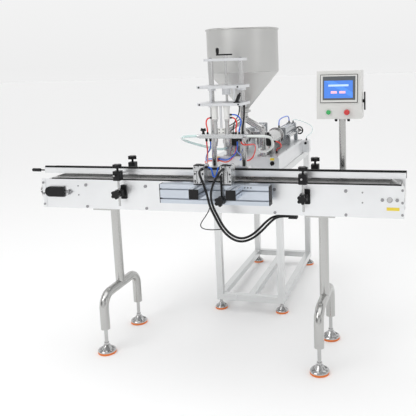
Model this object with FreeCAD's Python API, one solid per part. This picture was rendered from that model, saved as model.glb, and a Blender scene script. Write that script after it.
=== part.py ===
"""Two-nozzle piston filling machine: slat-chain conveyor, portal with nozzles, filler unit and operator panel.

Sizes are in millimetres. X runs along the conveyor towards its drive end, Y away from the operator, Z up.
Every piece is drawn about the conveyor's middle on the floor. The export moves it to the middle of the footprint.
"""
import FreeCAD, Part
import math
import os

V = FreeCAD.Vector
X_AXIS = V(1, 0, 0)
Y_AXIS = V(0, 1, 0)
Z_AXIS = V(0, 0, 1)

# Clearances
seat_gap = 0.3
run_gap = 0.08
pin_gap = 0.05
shaft_hole_gap = 1.5

# How far a cut runs past the face that it opens, and a welded pipe into its neighbour
past = 1.0

# Conveyor frame
conveyor_length = 2000.0
plate_top_z = 965.0
plate_height = 164.0
plate_sheet = 3.0
plate_flange = 25.0
end_strip_width = 22.0
end_strip_sheet = 3.0
end_bolt_inset = 9.0
end_bolt_levels = (22.0, 84.0, 145.0)
tie_bar_end_insets = (276.0, 284.0)
tie_bar_beam_gaps = (129.0, 5.0)
tie_bar_radius = 10.0
tie_bar_drop = 31.0
return_bar_radius = 6.0
small_screw_insets = (227.0, 202.0)
small_screw_drops = (37.0, 88.0)

# Bolt heads as (across flats, height)
end_bolt_head = (12.0, 4.0)
tie_bolt_head = (16.0, 5.0)
return_bolt_head = (14.0, 5.0)
small_screw_head = (8.0, 3.0)
bearing_bolt_head = (16.0, 6.0)

# Slat chain and its sprockets
slat_pitch = 50.8
sprocket_teeth = 8
slat_width = 190.5
slat_side_gap = 8.75
slat_sheet = 3.2
slat_joint_gap = 1.2
slat_rise = 3.0
hinge_radius = 5.0
hinge_middle_width = 40.0
hinge_side_width = 24.0
hinge_side_gap = 0.5
hinge_seat = 0.2
hinge_back_share = 0.2
hinge_flat_share = 0.5
hinge_low_share = 0.9
hinge_nose_share = 0.95
sprocket_width = 18.0
sprocket_hub_radius = 26.0
sprocket_tip_gap = 1.5
drive_inset = 70.0
tail_inset = 48.0
shaft_radius = 12.5
shaft_end_gap = 1.0
bearing_depth = 14.0
bearing_flange_depth = 8.4
bearing_bolt_reach = 35.5
bearing_ear_radius = 12.0
bearing_hub_radius = 30.0
edge_strip_gap = 2.75
edge_strip_height = 6.0
edge_strip_tail_shift = 14.0
edge_strip_drive_reach = 55.0
wear_strip_width = 20.0
wear_strip_offset = 75.0
wear_strip_inset = 40.0

# Take-up at the tail
cover_length = 118.0
cover_height = 56.0
cover_depth = 14.0
cover_bore_depth = 9.0
takeup_screw_radius = 5.0
takeup_screw_length = 48.0
takeup_travel = 12.0
takeup_nut_across = 11.0
takeup_nut_height = 7.0
takeup_lug_half_height = 14.0
takeup_lug_sheet = 8.0
takeup_lug_reach = 26.4

# Gear motor behind the drive end
gearbox_size = 100.0
gearbox_depth = 100.0
gearbox_round = 18.0
gearbox_flange_radius = 45.0
gearbox_hub_radius = 27.5
gearbox_hub_height = 6.0
motor_radius = 50.0
motor_length = 168.0
motor_flange_depth = 5.0
motor_neck_radius = 40.0
motor_neck_length = 12.0
stator_inset = 3.0
fan_cover_length = 34.0
motor_fins = 12
fin_sheet = 3.0
fin_root = 6.0
fin_end_inset = 20.0
terminal_length = 76.0
terminal_width = 60.0
terminal_drop = 26.0
terminal_sink = 8.0
terminal_round = 8.0

# Guide rails
rail_overhang = 7.0
rail_low_z = 990.0
rail_channel_height = 31.0
rear_rail_drop = 18.0
rail_sheet = 6.0
strip_depth = 8.0
strip_height = 38.0
strip_lift = 2.0
rail_face_y = 48.0
cross_rod_radius = 5.0
cross_rod_end_y = 190.0
cross_rod_z = 1004.0
front_post_insets = (496.0, 491.0)
rear_post_insets = (440.0, 479.0)
post_radius = 6.0
post_y = 145.0
post_low_z = 831.0
clamp_width = 42.0
clamp_depth = 46.0
clamp_low_z = 973.0
clamp_height = 50.0
clamp_post_depth = 20.0
clamp_round = 8.0
clamp_web = 2.0
knob_radius = 25.0
knob_core_radius = 18.0
knob_lobe_radius = 8.5
knob_thickness = 19.0
knob_lobes = 5
knob_stem_radius = 6.0
knob_stem_length = 17.0
bracket_width = 34.0
bracket_height = 77.0
bracket_sheet = 8.0
bracket_shift = 11.0
bracket_head_height = 34.0
bracket_head_width = 40.0
bracket_head_wall = 5.0
bracket_lift = 8.0
bracket_plate_round = 5.0
bracket_head_round = 9.0
sensor_radius = 9.5
sensor_length = 50.0
sensor_lens_depth = 3.0
sensor_lens_bevel = 1.5
sensor_rod_radius = 4.0
sensor_rod_length = 30.0

# Conveyor legs
leg_insets = (385.0, 415.0)
leg_tube_radius = 25.4
leg_tube_wall = 2.0
leg_half_spread = 200.0
leg_bar_z = 330.0
leg_bend_radius = 75.0
leg_tube_low_z = 140.0
leg_plug_height = 10.0
leg_head_width = 150.0
leg_head_sheet = 8.0

# Levelling feet
pad_height = 12.0
pad_round = 2.0
pad_hole_margin = 2.0
foot_radius = 50.0
foot_rim_height = 10.0
foot_cone_height = 36.0
foot_neck_radius = 16.0
foot_stud_radius = 10.0
foot_nut_height = 13.0
foot_hole_radius = 5.5
foot_hole_reach = 32.0
foot_edge_height = 4.0
foot_edge_inset = 3.0
foot_shoulder_share = 0.62
foot_shoulder_rise = 3.0
foot_nut_share = 1.6
foot_ribs = 6
foot_rib_sheet = 4.0
foot_rib_inset = 6.0
foot_rib_drop = 2.0
small_foot_scale = 0.8
small_foot_stud_reach = 10.0

# Positioning unit on the front
beam_length = 583.0
beam_middle_x = 55.5
beam_side = 50.0
beam_rear_y = -155.0
beam_top_z = 969.0
profile_slot = 8.2
profile_slot_wide = 20.0
profile_lip = 4.5
profile_slot_depth = 12.0
profile_corner = 2.0
cap_sheet = 4.0
cap_round = 3.0
arm_places = (-8.0, 184.0)
arm_length = 106.0
spacer_reach = 185.0
spacer_width = 40.0
spacer_height = 80.0
stop_places = (-20.0, 124.0)
stop_width = 58.0
stop_height = 91.0
stop_depth = 70.0
stop_front_y = -200.0
stop_base_sheet = 6.0
stop_round = 4.0
stop_wall = 8.0
stop_groove_width = 8.0
stop_groove_depth = 5.0
stop_hole_radius = 3.4
stop_hole_head_radius = 5.5
stop_hole_head_depth = 6.0
stop_hole_depth = 30.0
stop_hole_reach = 21.0
stop_hole_levels = (13.0, 50.0)
stop_rod_z = 1052.0
stop_plate_half_height = 9.0
stop_fitting_offsets = (20.0, -12.0)
stop_fitting_z = 1050.0
stop_fitting_radius = 7.5
stop_fitting_length = 12.0
stop_rod_radius = 6.0
guide_rod_radius = 5.0
guide_rod_reach = 20.0
stop_rod_start = 10.0
stop_plate_sheet = 8.0
stop_plate_inset = 2.0
stop_plate_gap = 10.0
stop_finger_length = 40.0
stop_pad_length = 14.0
stop_pad_radius = 8.5
stop_travel = 60.0
beam_knob_x = 105.0
beam_rod_radius = 5.0
beam_rod_low_z = 880.0
beam_rod_high_z = 1025.0
beam_clamp_height = 34.0
beam_clamp_depth = 26.0
beam_clamp_width = 32.0
beam_clamp_round = 5.0

# Nozzle portal
portal_x = 45.0
portal_y = 115.0
portal_spread = 172.0
portal_post_radius = 14.0
portal_foot_z = 1010.0
portal_base_sheet = 12.0
portal_base_depth = 60.0
portal_width = 232.0
portal_bracket_sheet = 8.0
portal_bracket_height = 150.0
portal_gusset_sheet = 8.0
portal_gusset_height = 90.0
portal_top_z = 1603.0
portal_top_sheet = 14.0
portal_top_depth = 70.0
portal_top_round = 10.0
lead_screw_radius = 7.0
lead_screw_low_z = 1372.0
lift_width = 246.0
lift_front_y = -30.0
lift_rear_y = 150.0
lift_upper_z = 1447.0
lift_lower_z = 1356.0
lift_sheet = 15.0
lift_round = 12.0
lift_screw_gap = 4.0
lift_bush_radius = 22.0
lift_bush_height = 16.0
lift_nut_radius = 25.0
lift_nut_height = 38.0
lift_tie_radius = 6.0
lift_tie_spread = 130.0
lift_tie_y = 40.0
crank_hub_radius = 13.0
crank_hub_height = 16.0
crank_arm_long = 52.0
crank_arm_short = 40.0
crank_arm_width = 16.0
crank_arm_sheet = 8.0
crank_arm_round = 7.0
crank_grip_radius = 9.0
crank_grip_neck_radius = 6.3
crank_grip_neck_height = 11.9
crank_grip_height = 34.0
crank_grip_round = 5.0
nozzle_spread = 66.0
nozzle_radius = 11.0
nozzle_tip_radius = 5.5
nozzle_bore_radius = 3.5
nozzle_top_z = 1285.0
nozzle_shoulder_z = 1168.0
nozzle_tip_z = 1140.0
nozzle_bore_depth = 87.0
nozzle_collar_radius = 13.0
nozzle_collar_height = 12.0
nozzle_collar_taper = 2.0
valve_cylinder_radius = 18.0
valve_cap_height = 10.0
valve_tube_inset = 2.0
holder_rod_radius = 6.0
holder_width = 38.0
holder_depth = 12.0
holder_height = 32.0
crossbar_low_z = 1183.0
crossbar_height = 22.0
crossbar_depth = 40.0
crossbar_length = 245.0
crossbar_fitting_radius = 10.0
crossbar_fitting_length = 16.0
crossbar_round = 3.0

# Filler frame
filler_x = 25.0
filler_post_spread = 406.0
filler_front_y = 510.0
filler_rear_y = 1443.0
square_tube = 40.0
square_wall = 2.0
filler_low_z = 62.0
filler_rail_top_z = 915.0
post_plug_height = 6.0

# Casing on the frame
casing_width = 430.0
casing_front_y = 480.0
casing_rear_y = 1290.0
casing_top_z = 1006.0
casing_sheet = 2.0
casing_round = 16.0
side_box_width = 50.0
side_box_depth = 60.0
side_box_height = 88.0
side_box_round = 5.0
air_port_radius = 5.9
air_port_depth = 14.0
air_port_drop = 16.0
air_boss_wall = 5.0
air_boss_height = 6.0
gland_radius = 9.0
gland_length = 12.0
side_box_lift = 3.0
selector_x = 198.0
selector_z = 966.0
selector_radius = 14.0
selector_skirt_height = 7.0
selector_bevel = 1.5
selector_grip_length = 26.0
selector_grip_width = 8.0
selector_grip_root = 6.0
selector_grip_rise = 18.0
selector_grip_round = 3.0
selector_stem_radius = 5.0
selector_stem_length = 6.0

# Hopper
hopper_y = 520.0
hopper_radius = 215.0
hopper_sheet = 2.0
hopper_rim_radius = 5.0
bead_sides = 12
hopper_rim_z = 1772.0
hopper_seam_z = 1521.0
hopper_outlet_z = 1300.0
hopper_outlet_radius = 24.0
ferrule_radius = 33.0
ferrule_height = 6.0
ferrule_taper = 2.0
ferrule_z = 1284.0

# Product manifold, filling cylinders and their drives
filling_spread = 220.0
filling_axis_z = 1090.0
valve_radius = 34.0
valve_low_z = 1040.0
valve_high_z = 1134.0
valve_top_bevel = 6.0
valve_foot_radius = 22.0
valve_base_radius = 38.0
valve_base_height = 6.0
outlet_radius = 10.0
outlet_z = 1062.0
outlet_length = 30.0
actuator_reach = 66.0
actuator_depth = 36.0
actuator_low_z = 1066.0
actuator_high_z = 1124.0
actuator_round = 6.0
air_block_x = -172.0
air_block_width = 29.0
air_block_depth = 18.0
air_block_low_z = 972.0
air_block_height = 26.0
air_block_round = 3.0
manifold_radius = 19.0
manifold_ball_radius = 25.0
manifold_bend_radius = 30.0
manifold_split_z = 1236.0
manifold_drop_z = 1172.0
collar_neck_radius = 16.0
collar_neck_height = 6.0
clamp_ring_radius = 37.0
clamp_ring_bevel = 1.0
filling_radius = 45.0
filling_wall = 3.0
filling_flange_radius = 54.0
filling_flange_depth = 12.0
filling_neck_radius = 24.75
filling_front_y = 562.0
filling_rear_y = 860.0
piston_y = 600.0
piston_depth = 24.0
piston_rod_radius = 10.0
piston_stroke = 100.0
bore_end_room = 10.0
yoke_y = 868.0
yoke_sheet = 15.0
yoke_height = 46.0
yoke_overhang = 30.0
yoke_round = 8.0
saddle_depth = 16.0
saddle_width = 84.0
saddle_front_inset = 50.0
saddle_rear_inset = 44.0
saddle_drop = 10.0
drive_front_y = 1000.0
drive_rear_y = 1370.0
drive_cap_side = 70.0
drive_cap_depth = 26.0
drive_cap_round = 7.0
drive_tube_radius = 31.0
tie_rod_radius = 4.0
tie_nut_across = 13.0
tie_nut_height = 6.0
tie_rod_reach = 27.0
stroke_screw_x = 185.0
stroke_screw_z = 1060.0
stroke_screw_radius = 8.0
stroke_block_width = 26.0
stroke_block_depth = 22.0
stroke_block_height = 68.0
stroke_block_round = 6.0
stroke_block_inset = 4.0
wheel_y = 1406.0
wheel_radius = 31.0
wheel_rim_radius = 5.0
wheel_hub_radius = 12.0
wheel_hub_length = 20.0
wheel_spoke_radius = 3.5
wheel_spokes = 3
stroke_screw_end_gap = 4.0

# Operator panel
pole_inset = 327.0
pole_radius = 17.5
pole_low_z = 850.0
pole_high_z = 1275.0
pole_clamp_levels = (870.0, 930.0)
pole_clamp_height = 22.0
pole_standoff = 5.0
pole_clamp_width = 60.0
pole_clamp_wall = 6.0
pole_clamp_round = 8.0
pole_head_radius = 29.5
pole_head_sheet = 6.0
panel_offset = 10.0
panel_width = 232.0
panel_height = 246.0
panel_front_y = 68.0
panel_depth = 118.0
panel_strip_height = 64.0
panel_lean = 26.0
panel_wall = 2.0
panel_front_wall = 9.0
bezel_side_margin = 19.5
bezel_end_margin = 19.0
bezel_rise = 4.0
bezel_root = 2.0
screen_side_margin = 21.5
screen_end_margin = 28.0
screen_pocket = 4.0
screen_sink = 1.0
button_z = 1310.0
green_offset = 53.0
green_radius = 12.0
green_rise = 6.0
red_offset = 42.0
red_radius = 15.0
red_rise = 16.0
button_stem_radius = 7.0
button_stem_length = 20.0
button_travel = 4.0
button_gap = 1.0
button_bore_room = 4.0
button_edge_share = 0.6
button_edge_round = 2.0
button_dome = 1.0
latch_z = 1363.0
latch_length = 94.0
latch_width = 14.0
latch_sheet = 7.0
latch_boss_radius = 9.0
latch_boss_length = 8.0
latch_round = 6.0
latch_spindle_radius = 5.4
latch_spindle_reach = 10.0
latch_hole_reach = 12.0

# Hoses and cables
black_hose_radius = 6.0
product_hose_radius = 7.5
cable_radius = 2.5
tube_radius = 3.0
hose_block_x = 420.0
hose_block_length = 44.0
hose_block_height = 22.0
hose_lane_insets = (14.0, 31.0)
hose_block_margin = 9.0
hose_block_round = 3.0

# Values worked out from the sizes above
half_width = slat_width / 2 + slat_side_gap + plate_sheet
half_length = conveyor_length / 2
drive_x = half_length - drive_inset
straight_pitches = math.floor((conveyor_length - drive_inset - tail_inset) / slat_pitch)
rail_length = conveyor_length + 2 * rail_overhang
front_post_places = (-half_length + front_post_insets[0], half_length - front_post_insets[1])
rear_post_places = (-half_length + rear_post_insets[0], half_length - rear_post_insets[1])
leg_places = (-half_length + leg_insets[0], half_length - leg_insets[1])
small_screw_places = (-half_length + small_screw_insets[0], half_length - small_screw_insets[1])
beam_left_x = beam_middle_x - beam_length / 2
beam_right_x = beam_middle_x + beam_length / 2
tie_bar_places = (-half_length + tie_bar_end_insets[0], beam_left_x - tie_bar_beam_gaps[0],
                  beam_right_x + tie_bar_beam_gaps[1], half_length - tie_bar_end_insets[1])
spacer_places = (beam_middle_x - spacer_reach, beam_middle_x + spacer_reach)
pole_x = half_length - pole_inset
panel_middle_x = pole_x - panel_offset
green_x = panel_middle_x - green_offset
red_x = panel_middle_x + red_offset
plate_low_z = plate_top_z - plate_height
pitch_radius = slat_pitch / 2 / math.sin(math.pi / sprocket_teeth)
slat_low = hinge_radius + hinge_seat
slat_high = slat_low + slat_sheet
chain_top_z = plate_top_z + slat_rise
shaft_z = chain_top_z - slat_high - pitch_radius
tail_x = drive_x - straight_pitches * slat_pitch
return_low_z = shaft_z - pitch_radius - slat_high
return_bar_z = return_low_z - seat_gap - return_bar_radius
tie_bar_z = plate_top_z - tie_bar_drop
bracket_z = shaft_z + bracket_lift
stop_ports = [place + offset for place, offset in zip(stop_places, stop_fitting_offsets)]
hose_end_z = plate_low_z - hose_block_height / 2
hose_lanes_y = [inset - half_width for inset in hose_lane_insets]
beam_low_z = beam_top_z - 2 * beam_side
beam_front_y = beam_rear_y - beam_side
arm_front_y = beam_front_y - arm_length
casing_low_z = filler_rail_top_z
pole_y = half_width + pole_standoff + pole_radius
panel_low_z = pole_high_z
left_filling_x = filler_x - filling_spread / 2
right_filling_x = filler_x + filling_spread / 2
small_foot_radius = foot_radius * small_foot_scale
left_edge_x = -rail_length / 2 - sensor_rod_length - sensor_length
front_edge_y = arm_front_y - cap_sheet
rear_edge_y = filler_rear_y + small_foot_radius
middle_x = (left_edge_x + rail_length / 2) / 2
middle_y = (front_edge_y + rear_edge_y) / 2
to_footprint_middle = V(-middle_x, -middle_y, 0)


def block(x0, x1, y0, y1, z0, z1):
    """A plain block between two corners."""
    return Part.makeBox(x1 - x0, y1 - y0, z1 - z0, V(x0, y0, z0))


def rod(radius, start, end):
    """A round bar from one point to another."""
    run = end - start
    return Part.makeCylinder(radius, run.Length, start, run)


def prism(points, reach):
    """A flat outline pushed along a vector."""
    return Part.Face(Part.makePolygon(list(points) + [points[0]])).extrude(reach)


def turned(profile, centre, axis=Z_AXIS):
    """A profile of (radius, height) pairs turned about an axis through centre."""
    points = [V(r, 0, h) for r, h in profile]
    solid = Part.Face(Part.makePolygon(points + [points[0]])).revolve(V(0, 0, 0), Z_AXIS, 360)
    solid.Placement = FreeCAD.Placement(centre, FreeCAD.Rotation(Z_AXIS, axis))
    return solid


def rounded_block(x0, x1, y0, y1, z0, z1, radius, along):
    """A block whose four edges along one axis are rounded."""
    solid = block(x0, x1, y0, y1, z0, z1)
    edges = []
    for edge in solid.Edges:
        run = edge.Vertexes[1].Point - edge.Vertexes[0].Point
        if abs(run.dot(along)) > 0.99 * run.Length:
            edges.append(edge)
    return solid.makeFillet(radius, edges)


def route_wire(points, radii=None):
    """Straight runs joined by tangent arcs, as large as the shorter run beside each corner allows."""
    edges = []
    last = points[0]
    for i in range(1, len(points) - 1):
        into = points[i] - points[i - 1]
        out = points[i + 1] - points[i]
        turn = into.getAngle(out)
        shorter = min(into.Length, out.Length)
        radius = 0.45 * shorter / math.tan(turn / 2)
        if radii is not None:
            radius = radii
        back = radius * math.tan(turn / 2)
        start = points[i] - into / into.Length * back
        end = points[i] + out / out.Length * back
        inward = (out / out.Length - into / into.Length)
        centre = points[i] + inward / inward.Length * radius / math.cos(turn / 2)
        to_corner = points[i] - centre
        crown = centre + to_corner / to_corner.Length * radius
        edges.append(Part.LineSegment(last, start).toShape())
        edges.append(Part.Arc(start, crown, end).toShape())
        last = end
    edges.append(Part.LineSegment(last, points[-1]).toShape())
    return Part.Wire(edges)


def tube(wire, radius):
    """A round bar swept along a wire of tangent runs."""
    first = wire.Edges[0]
    start = first.valueAt(first.FirstParameter)
    run = first.tangentAt(first.FirstParameter)
    ring = Part.Wire(Part.makeCircle(radius, start, run))
    return wire.makePipeShell([ring], True, False)


def cord(name, points, radius):
    """A hose or cable along its route. Prints its length, smallest arc and volume over section times length."""
    wire = route_wire(points)
    solid = tube(wire, radius)
    arcs = [edge.Curve.Radius for edge in wire.Edges if hasattr(edge.Curve, "Radius")]
    ratio = solid.Volume / (math.pi * radius ** 2 * wire.Length)
    print(name, "length", round(wire.Length), "smallest arc", round(min(arcs), 1), "volume ratio",
          round(ratio, 4))
    return solid


def hex_head(centre, axis, across, height):
    """A hexagon bolt head standing on centre."""
    radius = across / math.sqrt(3)
    corners = [V(radius * math.cos(math.radians(60 * i)), radius * math.sin(math.radians(60 * i)), 0)
               for i in range(6)]
    head = prism(corners, V(0, 0, height))
    head.Placement = FreeCAD.Placement(centre, FreeCAD.Rotation(Z_AXIS, axis))
    return head


def star_knob(centre, axis):
    """A star knob with its stem. The stem starts at centre and the head stands at its end."""
    head = Part.makeCylinder(knob_core_radius, knob_thickness, V(0, 0, knob_stem_length))
    reach = knob_radius - knob_lobe_radius
    for i in range(knob_lobes):
        angle = 2 * math.pi * i / knob_lobes
        place = V(reach * math.cos(angle), reach * math.sin(angle), knob_stem_length)
        head = head.fuse(Part.makeCylinder(knob_lobe_radius, knob_thickness, place))
    stem = Part.makeCylinder(knob_stem_radius, knob_stem_length, V(0, 0, 0))
    knob = head.fuse(stem).removeSplitter()
    knob.Placement = FreeCAD.Placement(centre, FreeCAD.Rotation(Z_AXIS, axis))
    return knob


def side_plate(side):
    """One side plate of the conveyor and the flange along its lower edge. side is -1 in front and 1 behind."""
    outer = side * half_width
    inner = side * (half_width - plate_sheet)
    lip = side * (half_width - plate_sheet - plate_flange)
    web = block(-half_length, half_length, *sorted((outer, inner)), plate_low_z, plate_top_z)
    flange = block(-half_length, half_length, *sorted((inner, lip)), plate_low_z, plate_low_z + plate_sheet)
    slot_half = shaft_radius + shaft_hole_gap
    y0, y1 = sorted((outer + side * past, inner - side * past))
    openings = block(tail_x - takeup_travel, tail_x + takeup_travel, y0, y1, shaft_z - slot_half,
                     shaft_z + slot_half)
    for x in (tail_x - takeup_travel, tail_x + takeup_travel, drive_x):
        openings = openings.fuse(rod(slot_half, V(x, y0, shaft_z), V(x, y1, shaft_z)))
    return [web.cut(openings), flange]


def end_strips():
    """Flat strips that stiffen both ends of both side plates."""
    strips = []
    for side in (-1, 1):
        for end in (-1, 1):
            x = sorted((end * half_length, end * (half_length - end_strip_width)))
            y = sorted((side * half_width, side * (half_width + end_strip_sheet)))
            strips.append(block(x[0], x[1], y[0], y[1], plate_low_z, plate_top_z))
    return strips


def spreader_bars():
    """Tie bars under the carrying run and slimmer ones that carry the return run."""
    bars = []
    inner = half_width - plate_sheet
    for x in tie_bar_places:
        bars.append(rod(tie_bar_radius, V(x, -inner, tie_bar_z), V(x, inner, tie_bar_z)))
        bars.append(rod(return_bar_radius, V(x, -inner, return_bar_z), V(x, inner, return_bar_z)))
    return bars


def wear_strips():
    """Strips that the chain slides on, and the edge strips on top of the side plates."""
    strips = []
    low = tie_bar_z + tie_bar_radius
    high = shaft_z + pitch_radius + slat_low - seat_gap
    wear_start = tail_x + wear_strip_inset
    wear_end = drive_x - wear_strip_inset
    edge_start = tail_x + edge_strip_tail_shift
    edge_end = drive_x + edge_strip_drive_reach
    for side in (-1, 1):
        y = side * wear_strip_offset
        strips.append(block(wear_start, wear_end, y - wear_strip_width / 2, y + wear_strip_width / 2, low, high))
        span = sorted((side * half_width, side * (slat_width / 2 + edge_strip_gap)))
        strips.append(block(edge_start, edge_end, span[0], span[1], plate_top_z, plate_top_z + edge_strip_height))
    return strips


def hinge_eye(width, middle_y, at_start):
    """One hinge eye under a slat's end, as a bar along Y with its web to the slat."""
    r = hinge_radius
    low = -hinge_low_share * r
    flat = hinge_flat_share * r
    outline = [(-r, slat_low), (-r, -hinge_back_share * r), (-flat, low), (flat, low), (hinge_nose_share * r, 0),
               (0, slat_low)]
    end = 1
    place = slat_pitch / 2
    if at_start:
        end = -1
        place = -slat_pitch / 2
    points = [V(place + end * s, middle_y - width / 2, n) for s, n in outline]
    return prism(points, V(0, width, 0))


def slat():
    """One slat of the chain about its own middle: the plate, one eye ahead and two behind."""
    half = (slat_pitch - slat_joint_gap) / 2
    plate = block(-half, half, -slat_width / 2, slat_width / 2, slat_low, slat_high)
    side_y = hinge_middle_width / 2 + hinge_side_gap + hinge_side_width / 2
    body = plate.fuse(hinge_eye(hinge_middle_width, 0, False))
    body = body.fuse(hinge_eye(hinge_side_width, side_y, True))
    body = body.fuse(hinge_eye(hinge_side_width, -side_y, True))
    return body.removeSplitter()


def slat_chain():
    """The closed chain: two straight runs and a half turn round each sprocket."""
    one = slat()
    slats = []

    def lay(x, z, angle):
        copy = one.copy()
        copy.Placement = FreeCAD.Placement(V(x, 0, z), FreeCAD.Rotation(Y_AXIS, angle))
        slats.append(copy)

    for i in range(straight_pitches):
        x = tail_x + (i + 0.5) * slat_pitch
        lay(x, shaft_z + pitch_radius, 0)
        lay(x, shaft_z - pitch_radius, 180)
    step = 360.0 / sprocket_teeth
    middle = pitch_radius * math.cos(math.pi / sprocket_teeth)
    for i in range(sprocket_teeth // 2):
        angle = step * (i + 0.5)
        lift = math.radians(angle)
        lay(drive_x + middle * math.sin(lift), shaft_z + middle * math.cos(lift), angle)
        lay(tail_x - middle * math.sin(lift), shaft_z - middle * math.cos(lift), angle + 180)
    return slats


def sprocket(x, y):
    """A sprocket whose seats take the chain's hinge eyes."""
    tip = pitch_radius * math.cos(math.pi / sprocket_teeth) + slat_low - sprocket_tip_gap
    wheel = rod(tip, V(x, y - sprocket_width / 2, shaft_z), V(x, y + sprocket_width / 2, shaft_z))
    for i in range(sprocket_teeth):
        angle = 2 * math.pi * i / sprocket_teeth
        seat = V(x + pitch_radius * math.cos(angle), y - sprocket_width, shaft_z + pitch_radius * math.sin(angle))
        wheel = wheel.cut(rod(hinge_radius + 2 * seat_gap, seat, seat + V(0, 2 * sprocket_width, 0)))
    hub = rod(sprocket_hub_radius, V(x, y - sprocket_width, shaft_z), V(x, y + sprocket_width, shaft_z))
    return wheel.fuse(hub)


def shaft_with_sprockets(x, front_y, rear_y):
    """A shaft with two sprockets keyed to it, in line with the side eyes of the chain."""
    y = hinge_middle_width / 2 + hinge_side_gap + hinge_side_width / 2
    shaft = rod(shaft_radius, V(x, front_y, shaft_z), V(x, rear_y, shaft_z))
    return [shaft.fuse(sprocket(x, -y)).fuse(sprocket(x, y))]


def shaft_bearings():
    """Two-bolt flange bearings of the drive shaft, inside the side plates."""
    bearings = []
    inner = half_width - plate_sheet
    for side in (-1, 1):
        face = side * inner
        back = side * (inner - bearing_depth)
        flange_back = side * (inner - bearing_flange_depth)
        ears = []
        for end in (-1, 1):
            place = drive_x + end * bearing_bolt_reach
            ears.append(rod(bearing_ear_radius, V(place, face, shaft_z), V(place, flange_back, shaft_z)))
        web = block(drive_x - bearing_bolt_reach, drive_x + bearing_bolt_reach, *sorted((face, flange_back)),
                    shaft_z - bearing_ear_radius, shaft_z + bearing_ear_radius)
        hub = rod(bearing_hub_radius, V(drive_x, face, shaft_z), V(drive_x, back, shaft_z))
        body = hub.fuse(web).fuse(ears[0]).fuse(ears[1])
        bore = rod(shaft_radius + run_gap, V(drive_x, face, shaft_z), V(drive_x, back, shaft_z))
        bearings.append(body.cut(bore).removeSplitter())
    return bearings


def takeup_covers():
    """Take-up housings over the tail shaft's ends, each with its screw, lug and nut."""
    solids = []
    for side in (-1, 1):
        face = side * half_width
        outer = side * (half_width + cover_depth)
        radius = cover_height / 2
        x0 = tail_x
        x1 = tail_x + cover_length - radius
        body = rod(radius, V(x0, face, shaft_z), V(x0, outer, shaft_z))
        body = body.fuse(block(x0, x1, *sorted((face, outer)), shaft_z - radius, shaft_z + radius))
        bore_end = side * (half_width + cover_bore_depth)
        bore = rod(shaft_radius + run_gap, V(x0, face, shaft_z), V(x0, bore_end, shaft_z))
        solids.append(body.cut(bore).removeSplitter())
        y = (face + outer) / 2
        lug_x = x1 + takeup_lug_reach
        screw = rod(takeup_screw_radius, V(x1, y, shaft_z), V(x1 + takeup_screw_length, y, shaft_z))
        lug_end = lug_x + takeup_lug_sheet
        lug = block(lug_x, lug_end, *sorted((face, outer)), shaft_z - takeup_lug_half_height,
                    shaft_z + takeup_lug_half_height)
        nut = hex_head(V(lug_end, y, shaft_z), X_AXIS, takeup_nut_across, takeup_nut_height)
        solids.append(screw.fuse(lug).fuse(nut))
    return solids


def gear_motor():
    """Worm gearbox on the drive shaft behind the rear plate, with its motor lying along the conveyor."""
    y0 = half_width + motor_flange_depth
    y1 = y0 + gearbox_depth
    half = gearbox_size / 2
    hub_end = y1 + gearbox_hub_height
    case = rounded_block(drive_x - half, drive_x + half, y0, y1, shaft_z - half, shaft_z + half,
                         gearbox_round, Y_AXIS)
    flange = rod(gearbox_flange_radius, V(drive_x, half_width, shaft_z), V(drive_x, y0, shaft_z))
    hub = rod(gearbox_hub_radius, V(drive_x, y1, shaft_z), V(drive_x, hub_end, shaft_z))
    bore = rod(shaft_radius + run_gap, V(drive_x, half_width - past, shaft_z),
               V(drive_x, hub_end + past, shaft_z))
    gearbox = case.fuse(flange).fuse(hub).cut(bore)
    motor_y = (y0 + y1) / 2
    x1 = drive_x - half
    x0 = x1 - motor_length
    neck_x = x1 - motor_neck_length
    cover_x = x0 + fan_cover_length
    neck = rod(motor_neck_radius, V(neck_x, motor_y, shaft_z), V(x1, motor_y, shaft_z))
    stator = rod(motor_radius - stator_inset, V(cover_x, motor_y, shaft_z), V(neck_x, motor_y, shaft_z))
    fan_cover = rod(motor_radius, V(x0, motor_y, shaft_z), V(cover_x, motor_y, shaft_z))
    motor = neck.fuse(stator).fuse(fan_cover)
    for i in range(motor_fins):
        fin = block(cover_x, x1 - fin_end_inset, -fin_sheet / 2, fin_sheet / 2, motor_radius - fin_root,
                    motor_radius)
        fin.rotate(V(0, 0, 0), X_AXIS, 360.0 * i / motor_fins)
        fin.translate(V(0, motor_y, shaft_z))
        motor = motor.fuse(fin)
    box_x = (x0 + x1) / 2
    box_top = shaft_z - motor_radius + terminal_sink
    terminal = rounded_block(box_x - terminal_length / 2, box_x + terminal_length / 2, motor_y - terminal_width / 2,
                             motor_y + terminal_width / 2, shaft_z - motor_radius - terminal_drop, box_top,
                             terminal_round, Z_AXIS)
    return [gearbox, motor.fuse(terminal).removeSplitter()]


def guide_rail(side, post_places, low):
    """A guide rail from height low up: steel channel, plastic strip on its lane side and its two cross rods."""
    half = rail_length / 2
    lane = side * rail_face_y
    strip_back = side * (rail_face_y + strip_depth)
    channel_back = side * (rail_face_y + strip_depth + rail_sheet)
    strip_low = low + strip_lift
    rod_z = low + cross_rod_z - rail_low_z
    solids = [block(-half, half, *sorted((strip_back, channel_back)), low, low + rail_channel_height),
              block(-half, half, *sorted((lane, strip_back)), strip_low, strip_low + strip_height)]
    for x in post_places:
        solids.append(rod(cross_rod_radius, V(x, channel_back, rod_z), V(x, side * cross_rod_end_y, rod_z)))
    return solids


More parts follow.
